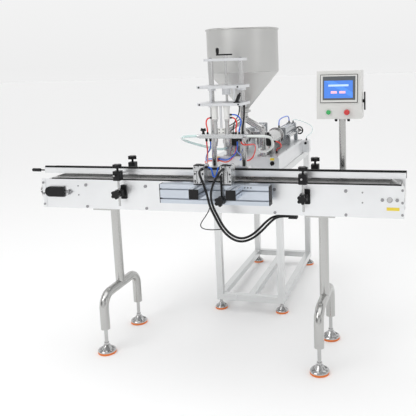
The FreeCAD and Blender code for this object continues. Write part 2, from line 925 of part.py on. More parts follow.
def rail_sensor():
    """The photo-eye at the infeed end of the front rail, on its rod."""
    x1 = -rail_length / 2
    x0 = x1 - sensor_rod_length
    y = -(rail_face_y + strip_depth + rail_sheet / 2)
    z = rail_low_z + rail_channel_height / 2
    body = turned([(0, 0), (sensor_radius - sensor_lens_bevel, 0), (sensor_radius, sensor_lens_depth),
                   (sensor_radius, sensor_length), (0, sensor_length)], V(x0 - sensor_length, y, z), X_AXIS)
    return [rod(sensor_rod_radius, V(x0, y, z), V(x1, y, z)), body]


def rail_posts(side, places, drop):
    """Upright rods of one rail with the cross clamps on their tops. drop lowers the holes for the cross rods."""
    solids = []
    y = side * post_y
    post_top = clamp_low_z + clamp_post_depth
    if drop:
        post_top = cross_rod_z - drop - cross_rod_radius - clamp_web
    rod_z = cross_rod_z - drop
    for x in places:
        solids.append(rod(post_radius, V(x, y, post_low_z), V(x, y, post_top)))
        clamp = rounded_block(x - clamp_width / 2, x + clamp_width / 2, y - clamp_depth / 2, y + clamp_depth / 2,
                              clamp_low_z, clamp_low_z + clamp_height, clamp_round, Z_AXIS)
        clamp = clamp.cut(rod(post_radius, V(x, y, clamp_low_z), V(x, y, post_top)))
        clamp = clamp.cut(rod(cross_rod_radius + run_gap, V(x, y - clamp_depth, rod_z),
                              V(x, y + clamp_depth, rod_z)))
        solids.append(clamp)
    return solids


def rail_brackets():
    """Brackets on the side plates whose split heads hold the upright rods."""
    solids = []
    for side, places in ((-1, front_post_places), (1, rear_post_places)):
        face = side * half_width
        back = side * (half_width + bracket_sheet)
        head_y = side * (post_y + post_radius + bracket_head_wall)
        for x in places:
            plate_x = x + bracket_shift
            plate = rounded_block(plate_x - bracket_width / 2, plate_x + bracket_width / 2, *sorted((face, back)),
                                  bracket_z - bracket_height / 2, bracket_z + bracket_height / 2, bracket_plate_round,
                                  Y_AXIS)
            head = rounded_block(x - bracket_head_width / 2, x + bracket_head_width / 2, *sorted((face, head_y)),
                                 bracket_z - bracket_head_height / 2, bracket_z + bracket_head_height / 2,
                                 bracket_head_round, Z_AXIS)
            bore = rod(post_radius + run_gap, V(x, side * post_y, bracket_z - bracket_height),
                       V(x, side * post_y, bracket_z + bracket_height))
            solids.append(plate.fuse(head).cut(bore).removeSplitter())
    return solids


def leg(x):
    """One leg: head plate, post and the bent tube that spreads to the two feet, all welded."""
    head = block(x - leg_head_width / 2, x + leg_head_width / 2, -half_width, half_width,
                 plate_low_z - leg_head_sheet, plate_low_z)
    path = route_wire([V(x, -leg_half_spread, leg_tube_low_z), V(x, -leg_half_spread, leg_bar_z),
                       V(x, leg_half_spread, leg_bar_z), V(x, leg_half_spread, leg_tube_low_z)], leg_bend_radius)
    spread = tube(path, leg_tube_radius)
    hollow = tube(path, leg_tube_radius - leg_tube_wall)
    post_high = V(x, 0, plate_low_z - leg_head_sheet)
    post = rod(leg_tube_radius, V(x, 0, leg_bar_z), post_high)
    post = post.cut(rod(leg_tube_radius - leg_tube_wall, V(x, 0, leg_bar_z), post_high)).cut(spread)
    pieces = [head, spread.cut(hollow), post]
    for side in (-1, 1):
        low = V(x, side * leg_half_spread, leg_tube_low_z)
        plug = rod(leg_tube_radius - leg_tube_wall, low, low + V(0, 0, leg_plug_height))
        pieces.append(plug.cut(rod(foot_stud_radius, low, low + V(0, 0, leg_plug_height))))
    return pieces


def levelling_foot(x, y, size, stud_top_z):
    """A pressed foot plate with ribs and a fixing hole, its nut and its stud."""
    radius = foot_radius * size
    low = pad_height
    neck = foot_neck_radius * size
    rim = low + foot_rim_height * size
    top = low + foot_cone_height * size
    plate = turned([(0, low), (radius, low), (radius, rim - foot_edge_height), (radius - foot_edge_inset, rim),
                    (radius * foot_shoulder_share, rim + foot_shoulder_rise), (neck, top), (0, top)], V(x, y, 0))
    half = foot_rib_sheet / 2
    for i in range(foot_ribs):
        rib = prism([V(neck, -half, rim), V(radius - foot_rib_inset, -half, rim),
                     V(neck, -half, top - foot_rib_drop)], V(0, foot_rib_sheet, 0))
        rib.rotate(V(0, 0, 0), Z_AXIS, 360.0 * (i + 0.5) / foot_ribs)
        rib.translate(V(x, y, 0))
        plate = plate.fuse(rib)
    hole_at = V(x - foot_hole_reach * size, y, low - past)
    plate = plate.cut(rod(foot_hole_radius, hole_at, hole_at + V(0, 0, foot_cone_height)))
    nut = hex_head(V(x, y, top), Z_AXIS, foot_nut_share * neck, foot_nut_height)
    stud = rod(foot_stud_radius * size, V(x, y, top), V(x, y, stud_top_z))
    return plate.fuse(nut).fuse(stud)


def foot_pad(x, y, size):
    """The rubber pad under a foot, with a rounded lower edge and a larger hole below the fixing hole."""
    radius = foot_radius * size
    pad = turned([(0, 0), (radius - pad_round, 0), (radius, pad_round), (radius, pad_height), (0, pad_height)],
                 V(x, y, 0))
    hole_at = V(x - foot_hole_reach * size, y, -past)
    return pad.cut(rod(foot_hole_radius + pad_hole_margin, hole_at, hole_at + V(0, 0, pad_height + 2 * past)))


def foot_places():
    """Every foot as (x, y, size, top of its stud)."""
    places = []
    for x in leg_places:
        for y in (-leg_half_spread, leg_half_spread):
            places.append((x, y, 1.0, leg_tube_low_z + leg_plug_height))
    for x in (filler_x - filler_post_spread / 2, filler_x + filler_post_spread / 2):
        for y in (filler_front_y, filler_rear_y):
            places.append((x, y, small_foot_scale, filler_low_z + small_foot_stud_reach))
    return places


def frame_bolts():
    """Bolt heads on the side plates: end strips, tie bars, drive bearings and small screws."""
    heads = []
    for side in (-1, 1):
        out = V(0, side, 0)
        face = side * half_width
        strip_face = side * (half_width + end_strip_sheet)
        for x in (-half_length + end_bolt_inset, half_length - end_bolt_inset):
            for drop in end_bolt_levels:
                heads.append(hex_head(V(x, strip_face, plate_top_z - drop), out, *end_bolt_head))
        for x in tie_bar_places:
            heads.append(hex_head(V(x, face, tie_bar_z), out, *tie_bolt_head))
            heads.append(hex_head(V(x, face, return_bar_z), out, *return_bolt_head))
        for x in small_screw_places:
            for drop in small_screw_drops:
                heads.append(hex_head(V(x, face, plate_top_z - drop), out, *small_screw_head))
        if side < 0:
            for end in (-1, 1):
                place = V(drive_x + end * bearing_bolt_reach, face, shaft_z)
                heads.append(hex_head(place, out, *bearing_bolt_head))
    return heads


def slotted_profile(width_cells, length):
    """An aluminium extrusion with a T-slot in each cell, as a section in YZ pushed along X."""
    side = beam_side
    total = side * width_cells
    body = block(0, length, 0, side, 0, total)
    half_slot = profile_slot / 2
    half_wide = profile_slot_wide / 2

    def slot(centre_y, centre_z, inward_y, inward_z):
        across_y = abs(inward_z)
        across_z = abs(inward_y)
        cuts = []
        for low, high, half in ((-past, profile_lip, half_slot), (profile_lip, profile_slot_depth, half_wide)):
            ys = sorted((centre_y + inward_y * low - across_y * half, centre_y + inward_y * high + across_y * half))
            zs = sorted((centre_z + inward_z * low - across_z * half, centre_z + inward_z * high + across_z * half))
            cuts.append(block(-past, length + past, ys[0], ys[1], zs[0], zs[1]))
        return cuts[0].fuse(cuts[1])

    for cell in range(width_cells):
        z = side * (cell + 0.5)
        body = body.cut(slot(0, z, 1, 0)).cut(slot(side, z, -1, 0))
    body = body.cut(slot(side / 2, 0, 0, 1)).cut(slot(side / 2, total, 0, -1))
    return body.removeSplitter()


def profile_beam():
    """The beam along the front plate, its two arms towards the operator and the blocks it stands off on."""
    beam = slotted_profile(2, beam_length)
    beam.translate(V(beam_left_x, beam_front_y, beam_low_z))
    solids = [beam]
    for x in arm_places:
        arm = slotted_profile(1, arm_length)
        arm.rotate(V(0, 0, 0), Z_AXIS, 90)
        arm.translate(V(x + beam_side / 2, arm_front_y, beam_top_z - beam_side))
        solids.append(arm)
    for x in spacer_places:
        low = (beam_low_z + beam_top_z) / 2 - spacer_height / 2
        solids.append(block(x - spacer_width / 2, x + spacer_width / 2, beam_rear_y, -half_width, low,
                            low + spacer_height))
    return solids


def profile_caps():
    """Plastic end caps of the beam and of the arms."""
    caps = []
    for x in (beam_left_x - cap_sheet, beam_right_x):
        caps.append(rounded_block(x, x + cap_sheet, beam_front_y, beam_rear_y, beam_low_z, beam_top_z, cap_round,
                                  X_AXIS))
    for x in arm_places:
        caps.append(rounded_block(x - beam_side / 2, x + beam_side / 2, arm_front_y - cap_sheet, arm_front_y,
                                  beam_top_z - beam_side, beam_top_z, cap_round, Y_AXIS))
    return caps


def stop_cylinders():
    """Guided stop cylinders on the beam, each on its base plate, with holes for the piston rod and guides."""
    solids = []
    rear = stop_front_y + stop_depth
    low = beam_top_z + stop_base_sheet
    top = low + stop_height
    for x, port_x in zip(stop_places, stop_ports):
        x0 = x - stop_width / 2
        x1 = x + stop_width / 2
        solids.append(block(x0, x1, beam_front_y, beam_rear_y, beam_top_z, low))
        body = rounded_block(x0, x1, stop_front_y, rear, low, top, stop_round, Y_AXIS)
        groove = block(x - stop_groove_width / 2, x + stop_groove_width / 2, stop_front_y - past, rear + past,
                       top - stop_groove_depth, top + past)
        port = V(port_x, stop_front_y, stop_fitting_z)
        body = body.cut(groove).fuse(rod(stop_fitting_radius, port - V(0, stop_fitting_length, 0), port))
        body = body.cut(rod(stop_rod_radius + run_gap, V(x, stop_front_y + stop_wall, stop_rod_z),
                            V(x, rear + past, stop_rod_z)))
        for end in (-1, 1):
            at = x + end * guide_rod_reach
            body = body.cut(rod(guide_rod_radius + run_gap, V(at, stop_front_y - past, stop_rod_z),
                                V(at, rear + past, stop_rod_z)))
            for level in stop_hole_levels:
                body = body.cut(screw_hole(x + end * stop_hole_reach, low + level))
        solids.append(body)
    return solids


def screw_hole(x, z):
    """A counterbored screw hole in the front face of a stop cylinder."""
    y = stop_front_y - past
    head = rod(stop_hole_head_radius, V(x, y, z), V(x, stop_front_y + stop_hole_head_depth, z))
    return head.fuse(rod(stop_hole_radius, V(x, y, z), V(x, stop_front_y + stop_hole_depth, z)))


def stop_rod(x):
    """The moving part of a stop cylinder: rods, their plate and the finger that holds the bottle back."""
    plate_y = stop_front_y + stop_depth + stop_plate_gap
    plate_rear = plate_y + stop_plate_sheet
    finger_end = plate_rear + stop_finger_length
    half = stop_width / 2 - stop_plate_inset
    plate = rounded_block(x - half, x + half, plate_y, plate_rear, stop_rod_z - stop_plate_half_height,
                          stop_rod_z + stop_plate_half_height, stop_round, Y_AXIS)
    parts = [rod(stop_rod_radius, V(x, stop_front_y + stop_rod_start, stop_rod_z), V(x, plate_y, stop_rod_z))]
    for end in (-1, 1):
        at = x + end * guide_rod_reach
        parts.append(rod(guide_rod_radius, V(at, stop_front_y, stop_rod_z), V(at, plate_y, stop_rod_z)))
    finger = rod(stop_rod_radius, V(x, plate_rear, stop_rod_z), V(x, finger_end, stop_rod_z))
    pad = rod(stop_pad_radius, V(x, finger_end - stop_pad_length, stop_rod_z), V(x, finger_end, stop_rod_z))
    return plate.fuse(parts).fuse(finger).fuse(pad)


def beam_rod_clamp():
    """The clamp on the beam's face with its upright rod."""
    x = beam_knob_x
    y0 = beam_front_y - beam_clamp_depth
    z0 = beam_rod_low_z
    z1 = z0 + beam_clamp_height
    clamp = rounded_block(x - beam_clamp_width / 2, x + beam_clamp_width / 2, y0, beam_front_y, z0, z1,
                          beam_clamp_round, Z_AXIS)
    rod_y = beam_front_y - beam_clamp_depth / 2
    clamp = clamp.cut(rod(beam_rod_radius, V(x, rod_y, z0 - past), V(x, rod_y, z1 + past)))
    return [clamp, rod(beam_rod_radius, V(x, rod_y, z0), V(x, rod_y, beam_rod_high_z))]


def portal_frame():
    """The nozzle portal: bracket with two gussets on the rear plate, base plate, two posts and the top plate."""
    half = portal_width / 2
    base_low = portal_foot_z - portal_base_sheet
    y0 = portal_y - portal_base_depth / 2
    y1 = portal_y + portal_base_depth / 2
    bracket_back = half_width + portal_bracket_sheet
    solids = [block(portal_x - half, portal_x + half, y0, y1, base_low, portal_foot_z),
              block(portal_x - half, portal_x + half, half_width, bracket_back, base_low - portal_bracket_height,
                    base_low)]
    for x in (portal_x - half, portal_x + half - portal_gusset_sheet):
        corner = [V(x, bracket_back, base_low), V(x, y1, base_low),
                  V(x, bracket_back, base_low - portal_gusset_height)]
        solids.append(prism(corner, V(portal_gusset_sheet, 0, 0)))
    top_low = portal_top_z - portal_top_sheet
    for x in portal_post_places():
        solids.append(rod(portal_post_radius, V(x, portal_y, portal_foot_z), V(x, portal_y, top_low)))
    top = rounded_block(portal_x - half, portal_x + half, portal_y - portal_top_depth / 2,
                        portal_y + portal_top_depth / 2, top_low, portal_top_z, portal_top_round, Z_AXIS)
    solids.append(top.cut(rod(lead_screw_radius + run_gap, V(portal_x, portal_y, top_low - past),
                              V(portal_x, portal_y, portal_top_z + past))))
    return solids


def portal_post_places():
    return (portal_x - portal_spread / 2, portal_x + portal_spread / 2)


def nozzle_crank():
    """The lead screw with the crank on its top: hub, arm, upright grip and counter end."""
    arm_z = portal_top_z + crank_hub_height
    screw = rod(lead_screw_radius, V(portal_x, portal_y, lead_screw_low_z), V(portal_x, portal_y, arm_z))
    hub = rod(crank_hub_radius, V(portal_x, portal_y, portal_top_z + seat_gap), V(portal_x, portal_y, arm_z))
    arm = rounded_block(portal_x - crank_arm_long, portal_x + crank_arm_short, portal_y - crank_arm_width / 2,
                        portal_y + crank_arm_width / 2, arm_z, arm_z + crank_arm_sheet, crank_arm_round, Z_AXIS)
    grip_at = V(portal_x - crank_arm_long + crank_arm_width / 2, portal_y, arm_z + crank_arm_sheet)
    grip = turned([(0, 0), (crank_grip_neck_radius, 0), (crank_grip_radius, crank_grip_neck_height),
                   (crank_grip_radius, crank_grip_height - crank_grip_round),
                   (crank_grip_radius - crank_grip_round, crank_grip_height), (0, crank_grip_height)], grip_at)
    return screw.fuse(hub).fuse(arm).fuse(grip)


def lift_carriage():
    """Two plates that slide on the portal's posts, with bushes, lead nut, ties and the nozzle holder."""
    half = lift_width / 2
    solids = []
    for low in (lift_upper_z, lift_lower_z):
        high = low + lift_sheet
        plate = rounded_block(portal_x - half, portal_x + half, lift_front_y, lift_rear_y, low, high,
                              lift_round, Z_AXIS)
        bush_low = low - lift_bush_height
        for x in portal_post_places():
            bore = rod(portal_post_radius + run_gap, V(x, portal_y, bush_low - past), V(x, portal_y, high + past))
            plate = plate.cut(bore)
            solids.append(rod(lift_bush_radius, V(x, portal_y, bush_low), V(x, portal_y, low)).cut(bore))
        screw_hole = rod(lead_screw_radius + lift_screw_gap, V(portal_x, portal_y, low - past),
                         V(portal_x, portal_y, high + past))
        solids.append(plate.cut(screw_hole))
    nut_low = lift_upper_z - lift_nut_height
    nut = rod(lift_nut_radius, V(portal_x, portal_y, nut_low), V(portal_x, portal_y, lift_upper_z))
    solids.append(nut.cut(rod(lead_screw_radius + pin_gap, V(portal_x, portal_y, nut_low - past),
                              V(portal_x, portal_y, lift_upper_z + past))))
    for end in (-1, 1):
        x = portal_x + end * lift_tie_spread / 2
        solids.append(rod(lift_tie_radius, V(x, lift_tie_y, lift_lower_z + lift_sheet),
                          V(x, lift_tie_y, lift_upper_z)))
    holder_low = crossbar_low_z + crossbar_height
    holder_high = holder_low + holder_height
    solids.append(block(portal_x - holder_width / 2, portal_x + holder_width / 2, -holder_depth / 2, holder_depth / 2,
                        holder_low, holder_high))
    solids.append(rod(holder_rod_radius, V(portal_x, 0, holder_high), V(portal_x, 0, lift_lower_z)))
    return solids


def nozzle_places():
    return (portal_x - nozzle_spread / 2, portal_x + nozzle_spread / 2)


def nozzle_cylinders():
    """The short air cylinders that open and shut the nozzles, under the lower lift plate."""
    height = lift_lower_z - nozzle_top_z
    cap = valve_cap_height
    r = valve_cylinder_radius
    tube_r = r - valve_tube_inset
    outline = [(0, 0), (r, 0), (r, cap), (tube_r, cap), (tube_r, height - cap), (r, height - cap), (r, height),
               (0, height)]
    return [turned(outline, V(x, 0, nozzle_top_z)) for x in nozzle_places()]


def filling_nozzles():
    """Two filling nozzles with tapered tips and their bores."""
    shoulder = nozzle_shoulder_z - nozzle_tip_z
    top = nozzle_top_z - nozzle_tip_z
    collar = top - nozzle_collar_height
    outline = [(nozzle_bore_radius, 0), (nozzle_tip_radius, 0), (nozzle_radius, shoulder),
               (nozzle_radius, collar - nozzle_collar_taper), (nozzle_collar_radius, collar),
               (nozzle_collar_radius, top), (0, top), (0, nozzle_bore_depth), (nozzle_bore_radius, nozzle_bore_depth)]
    return [turned(outline, V(x, 0, nozzle_tip_z)) for x in nozzle_places()]


def nozzle_crossbar():
    """The bar through which the nozzles pass, with a hose fitting at each end."""
    x0 = portal_x - crossbar_length / 2
    x1 = x0 + crossbar_length
    z1 = crossbar_low_z + crossbar_height
    middle_z = (crossbar_low_z + z1) / 2
    bar = rounded_block(x0, x1, -crossbar_depth / 2, crossbar_depth / 2, crossbar_low_z, z1, crossbar_round, X_AXIS)
    for x in nozzle_places():
        bar = bar.cut(rod(nozzle_radius, V(x, 0, crossbar_low_z - past), V(x, 0, z1 + past)))
    left = rod(crossbar_fitting_radius, V(x0 - crossbar_fitting_length, 0, middle_z), V(x0, 0, middle_z))
    right = rod(crossbar_fitting_radius, V(x1, 0, middle_z), V(x1 + crossbar_fitting_length, 0, middle_z))
    return bar.fuse(left).fuse(right)


def square_bar(start, end):
    """A square tube between two points that lie on one axis, with its ends square across."""
    half = square_tube / 2
    inner = half - square_wall
    low = V(min(start.x, end.x), min(start.y, end.y), min(start.z, end.z))
    high = V(max(start.x, end.x), max(start.y, end.y), max(start.z, end.z))
    run = (end - start)
    spread = [half if abs(part) < 1e-6 else 0 for part in run]
    hollow = [inner if abs(part) < 1e-6 else 0 for part in run]
    outer = block(low.x - spread[0], high.x + spread[0], low.y - spread[1], high.y + spread[1], low.z - spread[2],
                  high.z + spread[2])
    bore = block(low.x - hollow[0], high.x + hollow[0], low.y - hollow[1], high.y + hollow[1], low.z - hollow[2],
                 high.z + hollow[2])
    return outer.cut(bore)


def filler_frame():
    """The welded frame under the filler: four posts, lower and upper rails and a middle rail along Y."""
    half = square_tube / 2
    x0 = filler_x - filler_post_spread / 2
    x1 = filler_x + filler_post_spread / 2
    pieces = []
    for x in (x0, x1):
        for y in (filler_front_y, filler_rear_y):
            post = square_bar(V(x, y, filler_low_z), V(x, y, filler_rail_top_z))
            plug = block(x - half, x + half, y - half, y + half, filler_low_z, filler_low_z + post_plug_height)
            hole = rod(foot_stud_radius * small_foot_scale, V(x, y, filler_low_z - past),
                       V(x, y, filler_low_z + small_foot_stud_reach + past))
            pieces.append(post.fuse(plug).cut(hole).removeSplitter())
    for z in (filler_low_z + half, filler_rail_top_z - half):
        for y in (filler_front_y, filler_rear_y):
            pieces.append(square_bar(V(x0 + half, y, z), V(x1 - half, y, z)))
        for x in (x0, x1):
            pieces.append(square_bar(V(x, filler_front_y + half, z), V(x, filler_rear_y - half, z)))
    low = filler_low_z + half
    pieces.append(square_bar(V(filler_x, filler_front_y + half, low), V(filler_x, filler_rear_y - half, low)))
    return pieces


def casing():
    """The sheet casing on the frame: bent cover open below, front and rear panels, and the air box at the side."""
    half = casing_width / 2
    x0 = filler_x - half
    x1 = filler_x + half

    def arch(inset):
        """Half-round topped section of the cover, drawn at the front and inset by the sheet."""
        left = x0 + inset
        right = x1 - inset
        top = casing_top_z - inset
        r = casing_round - inset
        low = casing_low_z
        corner = r * (1 - math.sqrt(0.5))
        y = casing_front_y + inset
        edges = [Part.LineSegment(V(left, y, low), V(left, y, top - r)).toShape(),
                 Part.Arc(V(left, y, top - r), V(left + corner, y, top - corner), V(left + r, y, top)).toShape(),
                 Part.LineSegment(V(left + r, y, top), V(right - r, y, top)).toShape(),
                 Part.Arc(V(right - r, y, top), V(right - corner, y, top - corner), V(right, y, top - r)).toShape(),
                 Part.LineSegment(V(right, y, top - r), V(right, y, low)).toShape(),
                 Part.LineSegment(V(right, y, low), V(left, y, low)).toShape()]
        return Part.Face(Part.Wire(edges)).extrude(V(0, casing_rear_y - casing_front_y - 2 * inset, 0))

    shell = arch(0).cut(arch(casing_sheet))
    shell = shell.cut(rod(selector_stem_radius + run_gap, V(selector_x, casing_front_y - past, selector_z),
                          V(selector_x, casing_front_y + casing_sheet + past, selector_z)))
    y0 = casing_rear_y - side_box_depth
    box_low = casing_low_z + side_box_lift
    air_box = rounded_block(x1, x1 + side_box_width, y0, casing_rear_y, box_low, box_low + side_box_height,
                            side_box_round, Y_AXIS)
    port_z = casing_low_z + side_box_height - air_port_drop
    port_x = x1 + side_box_width / 2
    boss_end = casing_rear_y + air_boss_height
    air_box = air_box.fuse(rod(air_port_radius + air_boss_wall, V(port_x, casing_rear_y, port_z),
                               V(port_x, boss_end, port_z)))
    air_box = air_box.cut(rod(air_port_radius, V(port_x, boss_end - air_port_depth, port_z),
                              V(port_x, boss_end + past, port_z)))
    gland = rod(gland_radius, V(port_x, y0 - gland_length, port_z), V(port_x, y0, port_z))
    block_y = casing_front_y - air_block_depth
    air_block = rounded_block(air_block_x, air_block_x + air_block_width, block_y, casing_front_y, air_block_low_z,
                              air_block_low_z + air_block_height, air_block_round, Y_AXIS)
    return [shell, air_box, gland, air_block]


def ring_section(middle_radius, height, radius):
    """The many-sided section of a round bead, as (radius, height) pairs."""
    corners = []
    for i in range(bead_sides):
        angle = 2 * math.pi * i / bead_sides
        corners.append((middle_radius + radius * math.cos(angle), height + radius * math.sin(angle)))
    return corners


def hopper():
    """The round hopper, open at both ends: cylinder with its rolled rim, cone and outlet ferrule, all welded."""
    r = hopper_radius
    t = hopper_sheet
    out = hopper_outlet_radius
    low = hopper_outlet_z
    at = V(filler_x, hopper_y, 0)
    lip = ferrule_z + ferrule_height
    wall = turned([(r - t, hopper_seam_z), (r, hopper_seam_z), (r, hopper_rim_z), (r - t, hopper_rim_z)], at)
    bead = turned(ring_section(r + t / 2, hopper_rim_z, hopper_rim_radius), at)
    cone = turned([(out, low), (out + t, low), (r, hopper_seam_z), (r - t, hopper_seam_z)], at)
    ferrule = turned([(out, ferrule_z), (ferrule_radius, ferrule_z), (ferrule_radius, lip),
                      (out + t, lip + ferrule_taper), (out + t, low), (out, low)], at)
    return [wall.fuse(bead), cone, ferrule]


def product_manifold():
    """The pipe that splits the hopper's outlet to two valves, its clamp ring and the valves."""
    top = V(filler_x, hopper_y, ferrule_z)
    neck_low = -ferrule_height - collar_neck_height
    collar = turned([(hopper_outlet_radius, 0), (ferrule_radius, 0), (ferrule_radius, -ferrule_height),
                     (manifold_radius, neck_low), (collar_neck_radius, neck_low)], top)
    split = V(filler_x, hopper_y, manifold_split_z)
    trunk = rod(manifold_radius, split, top - V(0, 0, ferrule_height + past))
    pipes = Part.makeSphere(manifold_ball_radius, split).fuse(trunk).fuse(collar)
    for x in (left_filling_x, right_filling_x):
        route = [split, V(x, hopper_y, manifold_drop_z), V(x, hopper_y, valve_high_z)]
        pipes = pipes.fuse(tube(route_wire(route, manifold_bend_radius), manifold_radius))
    inner = ferrule_radius + seat_gap
    edge = ferrule_height - clamp_ring_bevel
    ring = turned([(inner, -ferrule_height), (clamp_ring_radius, -edge), (clamp_ring_radius, edge),
                   (inner, ferrule_height)], top)
    return [pipes.removeSplitter(), ring] + [product_valve(x) for x in (left_filling_x, right_filling_x)]


def product_valve(x):
    """One valve on its foot, with its hose outlet, the neck to its filling cylinder and its actuator."""
    y = hopper_y
    base_top = casing_top_z + valve_base_height
    bevel = valve_top_bevel
    body = turned([(0, casing_top_z), (valve_base_radius, casing_top_z), (valve_base_radius, base_top),
                   (valve_foot_radius, base_top), (valve_foot_radius, valve_low_z), (valve_radius, valve_low_z),
                   (valve_radius, valve_high_z - bevel), (valve_radius - bevel, valve_high_z), (0, valve_high_z)],
                  V(x, y, 0))
    outlet = rod(outlet_radius, V(x, y - valve_radius - outlet_length, outlet_z), V(x, y, outlet_z))
    neck = rod(filling_neck_radius, V(x, y, filling_axis_z), V(x, filling_front_y, filling_axis_z))
    actuator = rounded_block(x, x + actuator_reach, y - actuator_depth / 2, y + actuator_depth / 2, actuator_low_z,
                             actuator_high_z, actuator_round, X_AXIS)
    return body.fuse(outlet).fuse(neck).fuse(actuator)


def filling_cylinders():
    """The two filling cylinders with end flanges, hollow for their pistons, on saddles."""
    solids = []
    r = filling_radius
    f = filling_flange_radius
    d = filling_flange_depth
    length = filling_rear_y - filling_front_y
    bore = r - filling_wall
    rod_hole = piston_rod_radius + run_gap
    outline = [(0, 0), (f, 0), (f, d), (r, d), (r, length - d), (f, length - d), (f, length), (rod_hole, length),
               (rod_hole, length - d), (bore, length - d), (bore, d), (0, d)]
    for x in (left_filling_x, right_filling_x):
        solids.append(turned(outline, V(x, filling_front_y, filling_axis_z), Y_AXIS))
        for y in (filling_front_y + saddle_front_inset, filling_rear_y - saddle_rear_inset - saddle_depth):
            saddle = block(x - saddle_width / 2, x + saddle_width / 2, y, y + saddle_depth, casing_top_z,
                           filling_axis_z - saddle_drop)
            solids.append(saddle.cut(rod(r, V(x, y - past, filling_axis_z),
                                         V(x, y + saddle_depth + past, filling_axis_z))))
    return solids


def piston_yoke():
    """Both pistons and their rods, joined by the yoke that the drive cylinders pull."""
    half = filling_spread / 2 + yoke_overhang
    yoke = rounded_block(filler_x - half, filler_x + half, yoke_y, yoke_y + yoke_sheet,
                         filling_axis_z - yoke_height / 2, filling_axis_z + yoke_height / 2, yoke_round, Y_AXIS)
    for x in (left_filling_x, right_filling_x):
        reach = drive_front_y + drive_cap_depth
        yoke = yoke.fuse(rod(piston_rod_radius, V(x, piston_y, filling_axis_z), V(x, reach, filling_axis_z)))
        piston = rod(filling_radius - filling_wall - run_gap, V(x, piston_y - piston_depth, filling_axis_z),
                     V(x, piston_y, filling_axis_z))
        yoke = yoke.fuse(piston)
    return yoke


def drive_cylinders():
    """The air cylinders that move the yoke: square caps on feet, barrels and tie rods with their nuts."""
    solids = []
    half = drive_cap_side / 2
    z = filling_axis_z
    front_end = drive_front_y + drive_cap_depth
    rear_start = drive_rear_y - drive_cap_depth
    for x in (left_filling_x, right_filling_x):
        bore = rod(piston_rod_radius + run_gap, V(x, drive_front_y - past, z),
                   V(x, front_end + piston_stroke + bore_end_room, z))
        front = rounded_block(x - half, x + half, drive_front_y, front_end, z - half, z + half, drive_cap_round,
                              Y_AXIS)
        foot = block(x - half, x + half, drive_front_y, front_end, casing_top_z, z - half + drive_cap_round)
        solids.append(front.fuse(foot).cut(bore).removeSplitter())
        solids.append(rod(drive_tube_radius, V(x, front_end, z), V(x, rear_start, z)).cut(bore))
        solids.append(rounded_block(x - half, x + half, rear_start, drive_rear_y, z - half, z + half, drive_cap_round,
                                    Y_AXIS))
        for dx in (-tie_rod_reach, tie_rod_reach):
            for dz in (-tie_rod_reach, tie_rod_reach):
                solids.append(rod(tie_rod_radius, V(x + dx, front_end, z + dz), V(x + dx, rear_start, z + dz)))
                solids.append(hex_head(V(x + dx, drive_rear_y, z + dz), Y_AXIS, tie_nut_across, tie_nut_height))
    for y in (drive_front_y + stroke_block_inset, casing_rear_y - stroke_block_depth - stroke_block_inset):
        stop = rounded_block(stroke_screw_x - stroke_block_width / 2, stroke_screw_x + stroke_block_width / 2, y,
                             y + stroke_block_depth, casing_top_z, casing_top_z + stroke_block_height,
                             stroke_block_round, Y_AXIS)
        solids.append(stop.cut(rod(stroke_screw_radius + run_gap, V(stroke_screw_x, y - past, stroke_screw_z),
                                   V(stroke_screw_x, y + stroke_block_depth + past, stroke_screw_z))))
    return solids


def stroke_handwheel():
    """The handwheel that sets the stroke, with its spokes, hub and long screw."""
    x = stroke_screw_x
    z = stroke_screw_z
    ring_radius = wheel_radius - wheel_rim_radius
    hub_end = wheel_y + wheel_hub_length / 2
    screw = rod(stroke_screw_radius, V(x, drive_front_y - stroke_screw_end_gap, z), V(x, hub_end, z))
    hub = rod(wheel_hub_radius, V(x, wheel_y - wheel_hub_length / 2, z), V(x, hub_end, z))
    wheel = screw.fuse(hub).fuse(turned(ring_section(ring_radius, 0, wheel_rim_radius), V(x, wheel_y, z), Y_AXIS))
    for i in range(wheel_spokes):
        angle = 2 * math.pi * i / wheel_spokes
        tip = V(x + ring_radius * math.cos(angle), wheel_y, z + ring_radius * math.sin(angle))
        wheel = wheel.fuse(rod(wheel_spoke_radius, V(x, wheel_y, z), tip))
    return wheel


def selector_knob():
    """The selector on the casing's front: round skirt, raised grip bar and stem."""
    at = V(selector_x, casing_front_y - seat_gap, selector_z)
    skirt = turned([(0, 0), (selector_radius, 0), (selector_radius - selector_bevel, selector_skirt_height),
                    (0, selector_skirt_height)], at, V(0, -1, 0))
    half_length_of_grip = selector_grip_length / 2
    grip = rounded_block(selector_x - selector_grip_width / 2, selector_x + selector_grip_width / 2,
                         at.y - selector_grip_rise, at.y - selector_grip_root, selector_z - half_length_of_grip,
                         selector_z + half_length_of_grip, selector_grip_round, Y_AXIS)
    stem = rod(selector_stem_radius, at, at + V(0, selector_stem_length, 0))
    return skirt.fuse(grip).fuse(stem)


def panel_pole():
    """The pole of the operator panel with its two clamps on the rear side plate and its head plate."""
    head_low = pole_high_z - pole_head_sheet
    pole = rod(pole_radius, V(pole_x, pole_y, pole_low_z), V(pole_x, pole_y, head_low))
    head = rod(pole_head_radius, V(pole_x, pole_y, head_low), V(pole_x, pole_y, pole_high_z - seat_gap))
    solids = [pole.fuse(head)]
    for z in pole_clamp_levels:
        top = z + pole_clamp_height
        clamp = rounded_block(pole_x - pole_clamp_width / 2, pole_x + pole_clamp_width / 2, half_width,
                              pole_y + pole_radius + pole_clamp_wall, z, top, pole_clamp_round, Z_AXIS)
        solids.append(clamp.cut(rod(pole_radius, V(pole_x, pole_y, z - past), V(pole_x, pole_y, top + past))))
    return solids


